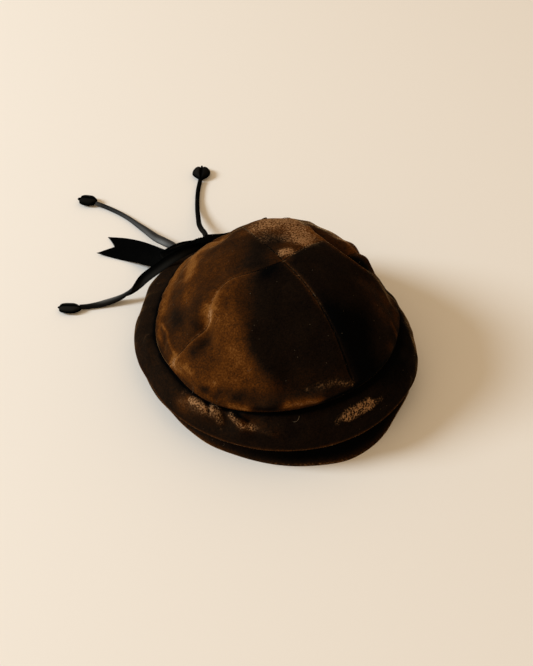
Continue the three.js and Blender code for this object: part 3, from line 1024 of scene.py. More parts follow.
# waves of slack cloth: length, length of the wave that bends it, how far, that wave's start, and height
slackWaves = [
    (0.031, 0.043, 1.3, 0.0, 1.0),
    (0.037, 0.029, 1.7, 0.6, 1.0),
    (0.023, 0.035, 2.0, 0.0, 0.7),
]


# gentle unevenness of cloth that has been worn, from a few waves that never line up
def slackness(points):
    x, y, z = (points[..., k] * 2 * math.pi for k in range(3))
    total = 0
    for (along, aside), row in zip([(x, y), (y, z), (x + y, z)], slackWaves):
        length, asideLength, bend, start, height = row
        total = total + height * np.sin(along / length + bend * np.sin(aside / asideLength + start))
    return total / 2


# gathers round the crown's edge: fine waves that stray and come in patches, and coarser ones
gatherWaves = {"fine": 67, "stray": 2, "strays": 5, "patches": 9, "coarse": 41, "coarseShare": 0.6}


def gathers(angle):
    look = gatherWaves
    turn = np.radians(angle)
    fine = np.sin(look["fine"] * turn + look["stray"] * np.sin(look["strays"] * turn))
    patchy = (1 + np.sin(look["patches"] * turn + 1)) / 2
    return fine * patchy + look["coarseShare"] * np.sin(look["coarse"] * turn)


def crownRelief(angle, level, points):
    lift = marksOn(points, domePoint, crownFolds) + crown["slack"] * slackness(points)
    away = np.minimum.reduce(list(seamDistances(angle, level, points).values()))
    lift -= crown["seamDip"] * bell(away, crown["seamDipWidth"])
    lift += crown["gather"] * gathers(angle) * np.exp(-level / crown["gatherReach"])
    lift += crown["puff"] * bell(level - crown["puffLevel"], crown["puffReach"])
    lift *= soften(0, crown["held"], level)
    return lift - crown["seamGroove"] * bell(away, crown["seamWidth"])


def crownPoint(angle, level, depth):
    flat = domePoint(angle, level)
    off = crownRelief(angle, level, flat) - depth
    points = flat + domeNormal(angle, level) * off[..., None]
    tucked = tuckDepth(angle) * bell(level, edgeTuck["reach"])
    points = points - roundPlaces(angle, tucked, np.zeros(tucked.shape))
    if depth > 0:
        # the lower edge is cut level, so that it sits on the brim
        low = angle[:, 0]
        points[:, 0] = roundPlaces(low, creaseRadius(low) - depth, creaseLevel(low))
    return points


# which of a shell's materials a face takes
shellSides = {"outside": 0, "inside": 1, "pressedShade": 2}


# closed shell between an outer and an inner grid of columns and rows; one with rim steps goes all the way
# round, its rims turned in that many steps, and the pressed rows of another take the third material: painted
# shade, almost no sheen
def shellMesh(name, outer, inner, values, rimSteps=0, shadedPressedRows=0):
    columns, rows = outer.shape[:2]
    joined = rimSteps > 0

    def rim(upper, lower, beyond):
        middle = (upper + lower) / 2
        half = (upper - lower) / 2
        out = unit(beyond) * np.linalg.norm(half, axis=-1, keepdims=True)
        turns = [math.pi * k / rimSteps for k in range(1, rimSteps)]
        return [middle + half * math.cos(turn) + out * math.sin(turn) for turn in turns]

    farRim = rim(outer[:, -1], inner[:, -1], outer[:, -1] - outer[:, -2]) if joined else []
    nearRim = rim(inner[:, 0], outer[:, 0], outer[:, 0] - outer[:, 1]) if joined else []
    ring = [outer[:, j] for j in range(rows)] + farRim
    ring += [inner[:, j] for j in range(rows - 1, -1, -1)] + nearRim
    ring = np.stack(ring, axis=1)
    size = ring.shape[1]
    last = columns if joined else columns - 1
    i, k = np.meshgrid(np.arange(last), np.arange(size), indexing="ij")
    nextI = (i + 1) % columns
    nextK = (k + 1) % size
    faces = np.stack([i * size + k, nextI * size + k, nextI * size + nextK, i * size + nextK], axis=-1)
    insideStart = rows + len(farRim) + 1
    insideEnd = rows + len(farRim) + rows - 1
    kinds = np.where((k >= insideStart) & (k < insideEnd), shellSides["inside"], shellSides["outside"])
    if shadedPressedRows > 0:
        kinds = np.where((k < shadedPressedRows) | (k == size - 1), shellSides["pressedShade"], kinds)
    faces = faces.reshape(-1, 4)
    kinds = kinds.ravel()
    if not joined:
        j = np.arange(rows - 1)
        far = 2 * rows - 1 - j
        end = (columns - 1) * size
        startCap = np.stack([j, j + 1, far - 1, far], axis=-1)
        endCap = np.stack([end + far, end + far - 1, end + j + 1, end + j], axis=-1)
        faces = np.concatenate([faces, startCap, endCap])
        kinds = np.concatenate([kinds, np.full(2 * len(j), shellSides["outside"])])
    spread = {}
    for valueName, numbers in values.items():
        parts = [numbers] + [numbers[:, -1:]] * len(farRim)
        parts += [numbers[:, ::-1]] + [numbers[:, :1]] * len(nearRim)
        spread[valueName] = np.concatenate(parts, axis=1)
    return makeMesh(name, ring.reshape(-1, 3), faces, kinds.tolist(), spread)


# how light each gore is from its pile and from painted light and shade, where 0 is dark and 1 is golden; the
# rows by the crease where it is pressed flat and painted shaded; and marks that stop at its seams
gores = [
    {
        "name": "crown_gore_front_left", "from": "front", "to": "left", "napAndLight": 0.18, "shadedPressedRows": 7,
        "marks": [
            ([(-88, 0.52), (-82, 0.32), (-84, 0.10)], 0.0150, -0.22),
            ([(-68, 0.40)], 0.0120, -0.10),
        ],
    },
    {
        "name": "crown_gore_back_left", "from": "left", "to": "back", "napAndLight": 0.46, "shadedPressedRows": 0,
        "marks": [
            ([(76, 0.62), (58, 0.62), (40, 0.66), (24, 0.68)], 0.0150, 0.40),
            ([(74, 0.84), (45, 0.86), (20, 0.84)], 0.0090, 0.10),
            ([(54, 0.78)], 0.0055, -0.42),
            ([(68, 0.73)], 0.0045, -0.20),
            ([(64, 0.46), (44, 0.47)], 0.0100, 0.36),
        ],
    },
    {
        "name": "crown_gore_back_right", "from": "back", "to": "right", "napAndLight": 0.57, "shadedPressedRows": 0,
        "marks": [],
    },
    {
        "name": "crown_gore_front_right", "from": "right", "to": "front", "napAndLight": 0.18, "shadedPressedRows": 7,
        "marks": [],
    },
]

# how far the cloth beside each seam is rubbed, from the crease to the top
seamShine = {
    "front": [0.16, 0.16, 0.22, 0.32, 0.32, 0.22],
    "left": [0.06, 0.06, 0.10, 0.18, 0.20, 0.16],
    "back": [0.04, 0.04, 0.06, 0.08, 0.08, 0.08],
    "right": [0.42, 0.28, 0.50, 0.34, 0.10, 0.08],
}

# the pile of the front right gore turns over along its ridge, and the side towards the lamp is painted lit
# and the other painted shaded
ridgeLitSide = {
    "gore": "crown_gore_front_right",
    "levels": [0, 0.1, 0.2, 0.3, 0.4, 0.5, 0.6, 0.7, 0.8, 1],
    "angles": [237, 234, 229, 220, 212, 206, 196, 181, 164, 140],
    "napAndLight": 0.84,
    "blur": 5,                  # how gradual the turn is in degrees, with more below and above
    "lowBlur": 12,
    "lowLevel": 0.4,
    "highBlur": 26,
    "highLevels": (0.45, 0.75),
}

# along a seam the pile parts and looks dark, and beside it the pile is rubbed
seamPile = {
    "part": 0.50,
    "partWidth": 0.0006,
    "shineWidth": 0.0016,
    "wearAndShine": 0.7,
    "litAway": 0.0007,
    "wearWidth": 0.0009,
}

# over the crease the pile is pressed and painted dark as shade, less so round two turns where the edge hangs
# over the brim
creasePressAndShade = {"napAndLight": 0.7, "ease": 0.65, "easedAt": [(188, 36), (235, 26)], "reach": 0.030}

napAndLightRange = (-0.5, 1.5)

# marks of painted light and shade on the crown's pile, with the pile's own lie: a line of (angle, level),
# its width and how much lighter it is there
crownNapAndLight = [
    # around the top
    ([(95, 0.80), (130, 0.80), (152, 0.84)], 0.0130, -0.38),
    ([(158, 0.72), (168, 0.80)], 0.0050, 0.12),
    # back right gore, and the right seam down to the crease
    ([(143, 0.37), (147, 0.35)], 0.0070, 0.42),
    ([(110, 0.36), (128, 0.36)], 0.0060, 0.18),
    ([(150, 0.11), (160, 0.16), (165, 0.15), (170, 0.14), (173, 0.13)], 0.0013, 0.50),
    ([(147, 0.08), (155, 0.08), (160, 0.08)], 0.0018, 0.42),
    ([(152, 0.23), (160, 0.27)], 0.0078, -0.34),
    ([(115, 0.50)], 0.0120, 0.12),
    # painted shade in the crease
    ([(181, 0.010), (192, 0.012)], 0.0020, -0.30),
    ([(170, 0.47), (173, 0.44), (175.5, 0.42)], 0.0040, 0.62),
    ([(177, 0.43), (175.5, 0.50)], 0.0026, 0.45),
    ([(173.5, 0.05), (175, 0.12)], 0.0032, 0.85),
    ([(174, 0.03), (182, 0.04)], 0.0030, 0.32),
    # painted highlights along the lit outline of the back right gore
    ([(82, 0.18), (94, 0.33), (99, 0.32), (106, 0.25), (120, 0.32), (127, 0.33)], 0.0066, 0.85),
    ([(101, 0.08), (121, 0.10), (130, 0.12), (142, 0.10)], 0.0056, 0.60),
    ([(84, 0.58)], 0.0060, 0.36),
    ([(173, 0.37)], 0.0058, -0.25),
    ([(163, 0.43)], 0.0060, -0.14),
    ([(165, 0.56), (175, 0.50)], 0.0050, 0.36),
    ([(168, 0.22), (172, 0.24)], 0.0040, 0.12),
    ([(80, 0.40), (84, 0.70)], 0.0120, -0.16),
    ([(101, 0.53), (110, 0.45)], 0.0080, -0.10),
    # front right gore
    ([(183.8, 0.25), (185, 0.33)], 0.0056, -0.52),
    ([(179.2, 0.085)], 0.0026, 0.30),
    ([(202.6, 0.075)], 0.0024, 0.34),
    ([(195, 0.24)], 0.0080, -0.14),
    ([(184.5, 0.13), (188, 0.12)], 0.0034, 0.40),
    ([(179, 0.56)], 0.0042, -0.26),
    ([(182, 0.10)], 0.0030, 0.20),
    ([(198, 0.12)], 0.0032, 0.26),
    ([(202, 0.15)], 0.0036, 0.26),
    ([(205, 0.36), (209, 0.31), (214, 0.29)], 0.0055, 0.24),
    ([(206, 0.22), (212, 0.19)], 0.0090, 0.13),
    ([(197, 0.085), (203, 0.055)], 0.0040, -0.14),
    ([(184, 0.48), (191, 0.48)], 0.0060, 0.20),
    ([(206, 0.43)], 0.0040, -0.12),
    ([(199, 0.08)], 0.0035, -0.48),
    ([(204, 0.06), (205, 0.10)], 0.0030, -0.42),
    ([(209, 0.11), (213, 0.095)], 0.0052, -0.34),
    ([(217, 0.105), (224, 0.08), (231, 0.07)], 0.0070, -0.46),
    ([(222.5, 0.03), (230, 0.03)], 0.0026, -0.34),
    ([(201, 0.045), (203, 0.03)], 0.0015, 0.36),
    ([(212, 0.025), (219, 0.015)], 0.0024, 0.80),
    ([(236, 0.05), (250, 0.04)], 0.0034, 0.90),
    ([(244, 0.16), (262, 0.10)], 0.0110, 0.12),
    # front left gore, and the ridge over the left seam
    ([(-46, 0.75)], 0.0060, 0.10),
    ([(-42, 0.42), (-30, 0.22)], 0.0090, 0.14),
    ([(-42, 0.23)], 0.0060, 0.40),
    ([(-52, 0.15), (-54, 0.09), (-56, 0.05)], 0.0017, 0.40),
    ([(-53, 0.30), (-53, 0.22)], 0.0070, 0.20),
    ([(-9, 0.94), (-60, 0.985)], 0.0032, 0.26),
    ([(12, 0.36), (-4, 0.38), (-14, 0.34), (-24, 0.30)], 0.0050, 0.44),
    ([(-48, 0.08), (-36, 0.12), (-26, 0.16)], 0.0050, 0.28),
    ([(-64, 0.06)], 0.0050, 0.26),
    ([(42, 0.47), (27, 0.58), (12, 0.61), (-8, 0.59), (-19, 0.53), (-28, 0.42)], 0.0020, 0.45),
    ([(26, 0.50), (16, 0.50)], 0.0034, -0.14),
    ([(-8, 0.47), (-18, 0.42), (-24, 0.37)], 0.0036, -0.20),
    ([(-18, 0.40), (-24, 0.24)], 0.0060, -0.26),
    ([(-8, 0.42), (-16, 0.36)], 0.0030, 0.14),
    ([(-91.5, 0.95), (-91.5, 0.62)], 0.0028, 0.18),
]

# rubbed places on the crown, some of them painted highlights where the seam's pinch and folds catch the
# light: a line of (angle, level), its width and how far it is rubbed
crownWearAndShine = [
    # painted highlight on the pinch of the right seam
    ([(176.5, 0.45), (175.5, 0.48)], 0.0017, 0.66),
    ([(174, 0.045), (174.6, 0.085)], 0.0016, 0.44),
    ([(174, 0.035), (178, 0.03)], 0.0016, 0.40),
    ([(27, 0.89), (52, 0.92)], 0.0038, 0.95),
    ([(20, 0.74)], 0.0044, 1.00),
    ([(68, 0.60), (46, 0.57), (32, 0.66), (24, 0.70)], 0.0110, 0.58),
    ([(62, 0.52), (45, 0.52)], 0.0055, 0.40),
    ([(72, 0.74), (40, 0.76)], 0.0090, 0.24),
    ([(250, 0.13), (260, 0.12)], 0.0040, 0.25),
    ([(263, 0.09), (266.5, 0.065)], 0.0028, 0.28),
    ([(245, 0.13)], 0.0022, 0.28),
    ([(238, 0.05), (249, 0.04)], 0.0026, 0.28),
]


def goreAngles(gore):
    levels = np.linspace(0, 1, crown["rows"] + 1)
    start = smoothBetween(seamLevels, seams[gore["from"]], levels)
    end = smoothBetween(seamLevels, seams[gore["to"]], levels)
    end = end + 360 * (end[0] < start[0])
    even = np.linspace(0, 1, crown["columns"] + 1)
    evenShare = crown["evenShare"]
    shares = evenShare * even + (1 - evenShare) * (1 - np.cos(math.pi * even)) / 2
    angle = start + (end - start) * shares[:, None]
    return angle, np.repeat(levels[None], len(shares), axis=0)


velvetPieces = []


# how light a whole gore is before its marks, from its pile and from painted light and shade
def goreLieAndLight(gore, angle, level):
    look = ridgeLitSide
    lieAndLight = np.full(angle.shape, gore["napAndLight"])
    if gore["name"] != look["gore"]:
        return lieAndLight
    edge = smoothBetween(look["levels"], look["angles"], level)
    blur = look["blur"] + look["lowBlur"] * np.maximum(0, 1 - level / look["lowLevel"]) ** 2
    blur = blur + look["highBlur"] * soften(*look["highLevels"], level)
    turned = soften(-1, 1, (edge - angle) / blur)
    return lieAndLight + (look["napAndLight"] - lieAndLight) * turned


def makeGore(gore):
    angle, level = goreAngles(gore)
    outer = crownPoint(angle, level, 0.0)
    inner = crownPoint(angle, level, crown["wall"])
    places = domePoint(angle, level)
    napAndLight = goreLieAndLight(gore, angle, level) + marksOn(places, domePoint, crownNapAndLight + gore["marks"])
    wearAndShine = marksOn(places, domePoint, crownWearAndShine)
    for name, away in seamDistances(angle, level, places).items():
        shine = smoothBetween(seamLevels, seamShine[name], level)
        napAndLight = napAndLight - seamPile["part"] * bell(away, seamPile["partWidth"])
        napAndLight = napAndLight + shine * bell(away, seamPile["shineWidth"])
        wearAndShine = wearAndShine + seamPile["wearAndShine"] * shine * bell(away - seamPile["litAway"], seamPile["wearWidth"])
    # painted shade over the crease
    eased = np.maximum.reduce([bumpRound(angle, *place) for place in creasePressAndShade["easedAt"]])
    pressedShade = creasePressAndShade["napAndLight"] - creasePressAndShade["ease"] * eased
    napAndLight = napAndLight - pressedShade * bell(level, creasePressAndShade["reach"])
    values = {
        "napAndLight": np.clip(napAndLight, *napAndLightRange),
        "wearAndShine": np.clip(wearAndShine, 0, 1),
        "along": level * crown["clothHeight"],
        "across": np.radians(angle) * crown["clothRadius"],
    }
    mesh = shellMesh(gore["name"], outer, inner, values, shadedPressedRows=gore["shadedPressedRows"])
    materials = [velvet, wrongSide, pressedShadedVelvet]
    velvetPieces.append(addPiece(gore["name"], "_velvet", mesh, materials))


for gore in gores:
    makeGore(gore)
print("crown sewn")

# Brims

upperBrim = {
    "allowance": 0.0022,        # cloth that lies under the crown's edge
    "sewnGap": 0.0004,
    "edge": (0.1042, 0.1120, 0.0176),
    "slopes": (8, 76),
    "columns": 420,
    "rows": 34,
    "rimSteps": 6,
    "slack": 0.0008,
    "swellOut": 0.6,            # how much of a pucker goes outwards, and how much upwards
    "swellUp": 0.8,
    "napAndLight": 0.17,
    "paintedLitSide": 0.09,           # painted light on the side that faces this turn, towards the lamp
    "paintedLitTurn": 170,
    "creaseShade": 0.9,           # painted shade in the crease, less so round one turn
    "creaseEase": 0.4,
    "creaseEasedAt": (180, 34),
    "creaseReach": 0.14,
    # painted highlight along the rolled edge, and wear with painted shine there
    "edgeHighlight": 0.42,
    "edgeWearAndShine": 0.20,
    "edgeReach": 0.025,
    "rubFullness": 2.5,
}

# its painted lit places, painted highlights on its edge and rubbed places have a middle and a width in
# degrees, and an amount
underBrim = {
    "edge": (0.0976, 0.1160, 0.0),
    "slopes": (72, 45),
    "hem": 0.0032,
    "columns": 420,
    "rows": 30,
    "rimSteps": 1,
    "slack": 0.0003,
    # dark all over as painted shade under the upper brim, darker towards the crease
    "napAndLight": -0.02,
    "litAt": [(193, 26, 0.14), (208, 22, 0.10)],
    "creaseShade": 0.4,
    "creaseReach": 0.3,
    # painted highlight along the hem, and wear with painted shine there
    "edgeHighlight": 0.20,
    "edgeHighlightAt": [(198, 20, 0.35), (256, 28, 0.30)],
    "edgeHighlightReach": 0.09,
    "edgeWearAndShine": 0.12,
    "edgeRubbedAt": [(246, 24, 0.26)],
    "edgeWearAndShineReach": 0.045,
}

# the share at which folds reach their height, and the lengths for the threads of the wrong side
brimCloth = {"foldHold": 0.06, "radius": 0.1, "width": 0.03}

# where the upper brim's edge stands further out or in: angle, width in degrees, lift
upperBulges = [
    (95, 9.0, 0.0050),
    (109, 7.0, 0.0038),
    (124, 5.0, -0.0012),
    (167, 11.0, -0.0019),
    (302, 13.0, 0.0026),
    (346, 13.0, -0.0060),
]

# the same for the under brim's edge
underBulges = [
    (178, 7.0, -0.0012),
    (203, 9.0, 0.0013),
    (258, 8.0, 0.0014),
    (287, 13.0, -0.0045),
]

# puckers where the brim is gathered to the crown: angle, width in degrees, lift, and the middle and reach
# of the share that each takes up
brimPuckers = [
    (-149, 5.0, -0.0016, 0.5, 0.5),
    (-143, 3.5, 0.0018, 0.5, 0.5),
    (-137, 4.0, -0.0018, 0.5, 0.5),
    (-163, 7.0, 0.0014, 0.5, 0.5),
    (-94, 9.0, 0.0012, 0.5, 0.5),
    (20, 10.0, -0.0012, 0.5, 0.5),
    (-146, 1.6, 0.0010, 0.22, 0.2),
    (-140, 1.5, -0.0011, 0.25, 0.2),
    (-133, 1.8, 0.0009, 0.25, 0.22),
    (-171, 2.2, -0.0008, 0.2, 0.2),
    (-118, 2.4, 0.0006, 0.2, 0.2),
    (-75, 3.0, 0.0007, 0.3, 0.25),
    (-48, 2.6, -0.0007, 0.25, 0.25),
    (58, 3.5, 0.0009, 0.3, 0.3),
    (112, 3.0, -0.0009, 0.3, 0.3),
    (150, 3.0, 0.0008, 0.3, 0.3),
]

# creases and ridges of the upper brim: a line of (angle, share), its width and its lift
brimFolds = [
    ([(189, 0.60), (195, 0.32), (201, 0.40)], 0.0036, 0.0020),
    ([(201, 0.10), (202.7, 0.25), (203.2, 0.38)], 0.0016, -0.0024),
    ([(204, 0.24), (207, 0.40), (208.7, 0.56)], 0.0030, 0.0016),
    ([(209, 0.16), (211, 0.40)], 0.0026, -0.0014),
    ([(213, 0.28), (216.4, 0.46), (219, 0.54), (230, 0.58)], 0.0028, 0.0020),
    ([(210, 0.14), (214.7, 0.23), (219.9, 0.36)], 0.0018, -0.0028),    # slit under the crown's edge
    ([(222, 0.30), (238, 0.34)], 0.0040, -0.0014),
    ([(172, 0.10), (186, 0.10), (200, 0.08)], 0.0040, -0.0018),
    ([(258, 0.50), (274, 0.52)], 0.0090, 0.0010),
    ([(240, 0.30), (252, 0.28)], 0.0050, -0.0010),
    ([(150, 0.30), (160, 0.50)], 0.0040, 0.0010),
    ([(20, 0.30), (34, 0.45)], 0.0050, 0.0011),
    ([(300, 0.25), (312, 0.45)], 0.0040, 0.0009),
    ([(95, 0.30), (110, 0.45)], 0.0050, -0.0010),
]

# marks of painted light and shade on its pile, with the pile's own lie: a line of (angle, share), its width
# and how much lighter it is there
brimNapAndLight = [
    # painted shade in the crease and painted shadows in the slits under the crown's edge, then painted
    # highlights on fold crests
    ([(165, 0.10), (185, 0.10), (200, 0.10)], 0.0032, -0.25),
    ([(201, 0.10), (202.7, 0.25), (203.2, 0.36)], 0.0014, -0.50),
    ([(210, 0.14), (214.7, 0.23), (219.9, 0.36)], 0.0014, -0.55),
    ([(218, 0.17), (221, 0.34)], 0.0034, 0.10),
    ([(189, 0.62), (195, 0.40), (201, 0.42)], 0.0062, 0.24),
    ([(192, 0.34), (198.4, 0.27), (202, 0.31)], 0.0026, 0.22),
    ([(204, 0.26), (207, 0.42), (208.7, 0.54)], 0.0034, 0.22),
    ([(213, 0.28), (216.4, 0.42), (219, 0.42)], 0.0032, 0.26),
    ([(219, 0.46), (226, 0.50), (232, 0.60)], 0.0052, 0.22),
    ([(192, 0.72)], 0.0060, 0.16),
    ([(228, 0.58), (238, 0.52)], 0.0060, -0.08),
    ([(302, 0.45), (330, 0.50)], 0.0160, -0.03),
    ([(284, 0.30), (294, 0.40)], 0.0080, -0.08),
    ([(70, 0.40), (110, 0.40)], 0.0160, 0.06),
]

# rubbed places and painted highlights on fold crests: a line of (angle, share), its width and how far it is
# rubbed
brimWearAndShine = [
    ([(190, 0.56), (201, 0.46)], 0.0054, 0.22),
    ([(194, 0.32), (198.4, 0.29), (202, 0.33)], 0.0026, 0.56),
    ([(204.4, 0.46)], 0.0030, 0.22),
    ([(188.1, 0.28)], 0.0040, 0.16),
    ([(204, 0.24), (206.5, 0.26), (207.5, 0.38), (208.7, 0.54)], 0.0030, 0.42),
    ([(256, 0.49), (259, 0.49)], 0.0026, 0.26),
    ([(273, 0.53), (277, 0.56)], 0.0026, 0.28),
    ([(212.5, 0.28), (215.2, 0.40), (218, 0.50), (222, 0.50)], 0.0027, 0.46),
    ([(224, 0.51), (228.4, 0.57), (232, 0.60)], 0.0036, 0.17),
    ([(237, 0.72)], 0.0030, 0.12),
    # less rubbed along the slit, so its painted shadow stays dark
    ([(200, 0.12), (202, 0.26), (203.2, 0.36)], 0.0012, -0.55),
    ([(232, 0.39), (234, 0.41)], 0.0036, 0.12),
    ([(209.5, 0.75)], 0.0022, 0.18),
    ([(255.5, 0.57)], 0.0020, 0.32),
    ([(283, 0.50)], 0.0032, 0.16),
]

# the patch in front that is rubbed down to the ground
brimRub = [([(260.5, 0.50), (266, 0.49), (270.5, 0.49)], 0.0034, 0.52)]


def rollShares(slopes, share):
    first, last = (math.radians(slope) for slope in slopes)
    now = first + (last - first) * share
    spread = (np.sin(now) - math.sin(first)) / (math.sin(last) - math.sin(first))
    drop = (math.cos(first) - np.cos(now)) / (math.cos(first) - math.cos(last))
    return spread, drop


def edgeRadius(angle, edge, bulges):
    turn = np.radians(angle)
    radius = 1 / np.hypot(np.cos(turn) / edge[0], np.sin(turn) / edge[1])
    for bump in bumps(angle, bulges):
        radius = radius + bump
    return radius


# a brim's roll from its sewn edge, at the height top, to its free edge
def rolledProfile(angle, share, look, bulges, top):
    start = creaseRadius(angle) - upperBrim["allowance"]
    spread, drop = rollShares(look["slopes"], share)
    edge = edgeRadius(angle, look["edge"], bulges)
    return start + (edge - start) * spread, top - (top - look["edge"][2]) * drop


def upperProfile(angle, share):
    top = creaseLevel(angle) - upperBrim["sewnGap"]
    radius, height = rolledProfile(angle, share, upperBrim, upperBulges, top)
    swell = np.zeros(np.broadcast(angle, share).shape)
    for middle, width, lift, where, reach in brimPuckers:
        along = np.clip((share - where) / reach, -1, 1)
        swell += lift * bumpRound(angle, middle, width) * np.cos(along * math.pi / 2) ** 2
    return radius + swell * upperBrim["swellOut"], height + swell * upperBrim["swellUp"]


def underProfile(angle, share):
    top = creaseLevel(angle) - 2 * upperBrim["sewnGap"] - crown["wall"]
    return rolledProfile(angle, share, underBrim, underBulges, top)


def brimSurface(profile):
    return lambda angle, share: roundPlaces(angle, *profile(angle, share))


def makeBrim(name, look, profile, folds, napAndLight, wearAndShine):
    turns = -360 * np.arange(look["columns"]) / look["columns"]
    angle = np.repeat(turns[:, None], look["rows"] + 1, axis=1)
    share = np.repeat(np.linspace(0, 1, look["rows"] + 1)[None], look["columns"], axis=0)
    radius, height = profile(angle, share)
    step = 0.01
    nextRadius, nextHeight = profile(angle, share + step)
    size = np.hypot(nextRadius - radius, nextHeight - height)
    inward = (nextHeight - height) / size
    downward = -(nextRadius - radius) / size
    flat = roundPlaces(angle, radius, height)
    # the middle of the brim is slack, its two edges are held
    loose = np.sqrt(np.sin(math.pi * share))
    folded = marksOn(flat, brimSurface(profile), folds) * soften(0, brimCloth["foldHold"], share)
    off = look["slack"] * slackness(flat) * loose + folded
    outer = roundPlaces(angle, radius - inward * off, height - downward * off)
    wall = crown["wall"]
    inner = roundPlaces(angle, radius + inward * (wall - off), height + downward * (wall - off))
    inner[..., 2] = np.maximum(inner[..., 2], 0)
    if "hem" in look:
        inner[:, -1] = roundPlaces(angle[:, -1], radius[:, -1] - look["hem"], height[:, -1])
    values = {
        "napAndLight": np.clip(napAndLight(angle, share, flat), *napAndLightRange),
        "wearAndShine": np.clip(wearAndShine(angle, share, flat), 0, 1),
        "along": np.radians(angle) * brimCloth["radius"],
        "across": share * brimCloth["width"],
    }
    mesh = shellMesh(name, outer, inner, values, look["rimSteps"])
    velvetPieces.append(addPiece(name, "_velvet", mesh, [velvet, wrongSide]))


def upperNapAndLight(angle, share, points):
    look = upperBrim
    # painted light on the side towards the lamp, painted shade in the crease and a painted highlight on the
    # edge
    towards = np.cos(np.radians(angle - look["paintedLitTurn"]))
    pressedShade = look["creaseShade"] - look["creaseEase"] * bumpRound(angle, *look["creaseEasedAt"])
    crease = pressedShade * bell(share, look["creaseReach"])
    edge = look["edgeHighlight"] * bell(1 - share, look["edgeReach"])
    marks = marksOn(points, brimSurface(upperProfile), brimNapAndLight)
    return look["napAndLight"] + look["paintedLitSide"] * towards - crease + edge + marks


def upperWearAndShine(angle, share, points):
    look = upperBrim
    surface = brimSurface(upperProfile)
    edge = look["edgeWearAndShine"] * bell(1 - share, look["edgeReach"])
    return edge + marksOn(points, surface, brimWearAndShine) + marksOn(points, surface, brimRub, look["rubFullness"])


def underNapAndLight(angle, share, points):
    look = underBrim
    # painted light where lit, a painted highlight on the hem, and painted shade towards the crease
    lit = sum(bumps(angle, look["litAt"]))
    lighter = np.maximum.reduce(bumps(angle, look["edgeHighlightAt"]))
    edge = (look["edgeHighlight"] + lighter) * bell(1 - share, look["edgeHighlightReach"])
    return look["napAndLight"] + lit + edge - look["creaseShade"] * bell(share, look["creaseReach"])


def underWearAndShine(angle, share, points):
    look = underBrim
    rubbed = sum(bumps(angle, look["edgeRubbedAt"]))
    return (look["edgeWearAndShine"] + rubbed) * bell(1 - share, look["edgeWearAndShineReach"])


makeBrim("upper_brim", upperBrim, upperProfile, brimFolds, upperNapAndLight, upperWearAndShine)
makeBrim("under_brim", underBrim, underProfile, [], underNapAndLight, underWearAndShine)
print("brims turned")

# Bow

bowTail = {
    "route": [
        # x, y, z, width, twist
        (0.0050, 0.1115, 0.0324, 0.0060, -20),
        (-0.0015, 0.1180, 0.0234, 0.0120, -12),
        (-0.0065, 0.1255, 0.0168, 0.0190, -6),
        (-0.0096, 0.1335, 0.0110, 0.0240, 0),
        (-0.0113, 0.1425, 0.0064, 0.0260, 3),
        (-0.0130, 0.1530, 0.0030, 0.0260, 3),
        (-0.0175, 0.1640, 0.0016, 0.0260, 0),
        (-0.0240, 0.1745, 0.0012, 0.0255, 0),
        (-0.0315, 0.1840, 0.0013, 0.0230, 2),
        (-0.0360, 0.1885, 0.0020, 0.0215, 3),
    ],
    "wall": 0.0007,
    "rings": 90,
    "strips": 25,
    "notch": 0.0110,
    "slant": 0.0050,
    "flatWidth": 0.026,
    "rootCurl": 1.3,            # in radians across the width, and the share of the length that it fades over
    "rootCurlReach": 0.16,
    "wave": 0.12,
    "waveTurn": 9,
}


def makeTail():
    look = bowTail
    route = routeThrough(look["route"], look["rings"])
    line = route[:, :3]
    widths, twist = route[:, 3:].T
    share = np.linspace(0, 1, len(line))
    curl = look["rootCurl"] * np.exp(-share / look["rootCurlReach"])
    curl = curl + look["wave"] * np.sin(share * look["waveTurn"])
    strips = np.linspace(-1, 1, look["strips"])
    mesh = ribbonMesh(
        "ribbon_tail", line, twist, curl, widths, look["wall"], strips, 0.0, 0, look["notch"], look["slant"],
    )
    piece = addPiece("ribbon_tail", "_velvet", mesh, [blackPile, satin])


bowLoops = [
    {
        "name": "bow_loop_right", "root": (0.0084, 0.1038, 0.0396), "tip": (-0.0180, 0.1205, 0.0270),
        "width": 0.0100, "lean": 0, "sag": 0.0,
    },
    {
        "name": "bow_loop_left", "root": (0.0126, 0.1021, 0.0400), "tip": (0.0695, 0.0934, 0.0337),
        "width": 0.0076, "lean": -30, "sag": 0.0034,
    },
]

loopShape = {
    "flatWidth": 0.010,
    "rootWidth": 0.0074,
    "fullWidthAt": 0.5,
    "depth": 0.0046,
    "rootDepth": 0.62,          # as a share of the full depth
    "ripple": 0.0006,
    "ripples": 3,
    "crossBow": 0.0006,         # how far the ribbon's middle stands out beyond its edges
    # painted shine along the loop's middle
    "shine": 0.35,
    "wall": 0.0007,
    "turns": 96,
    "strips": 11,
    "rimSteps": 4,
}


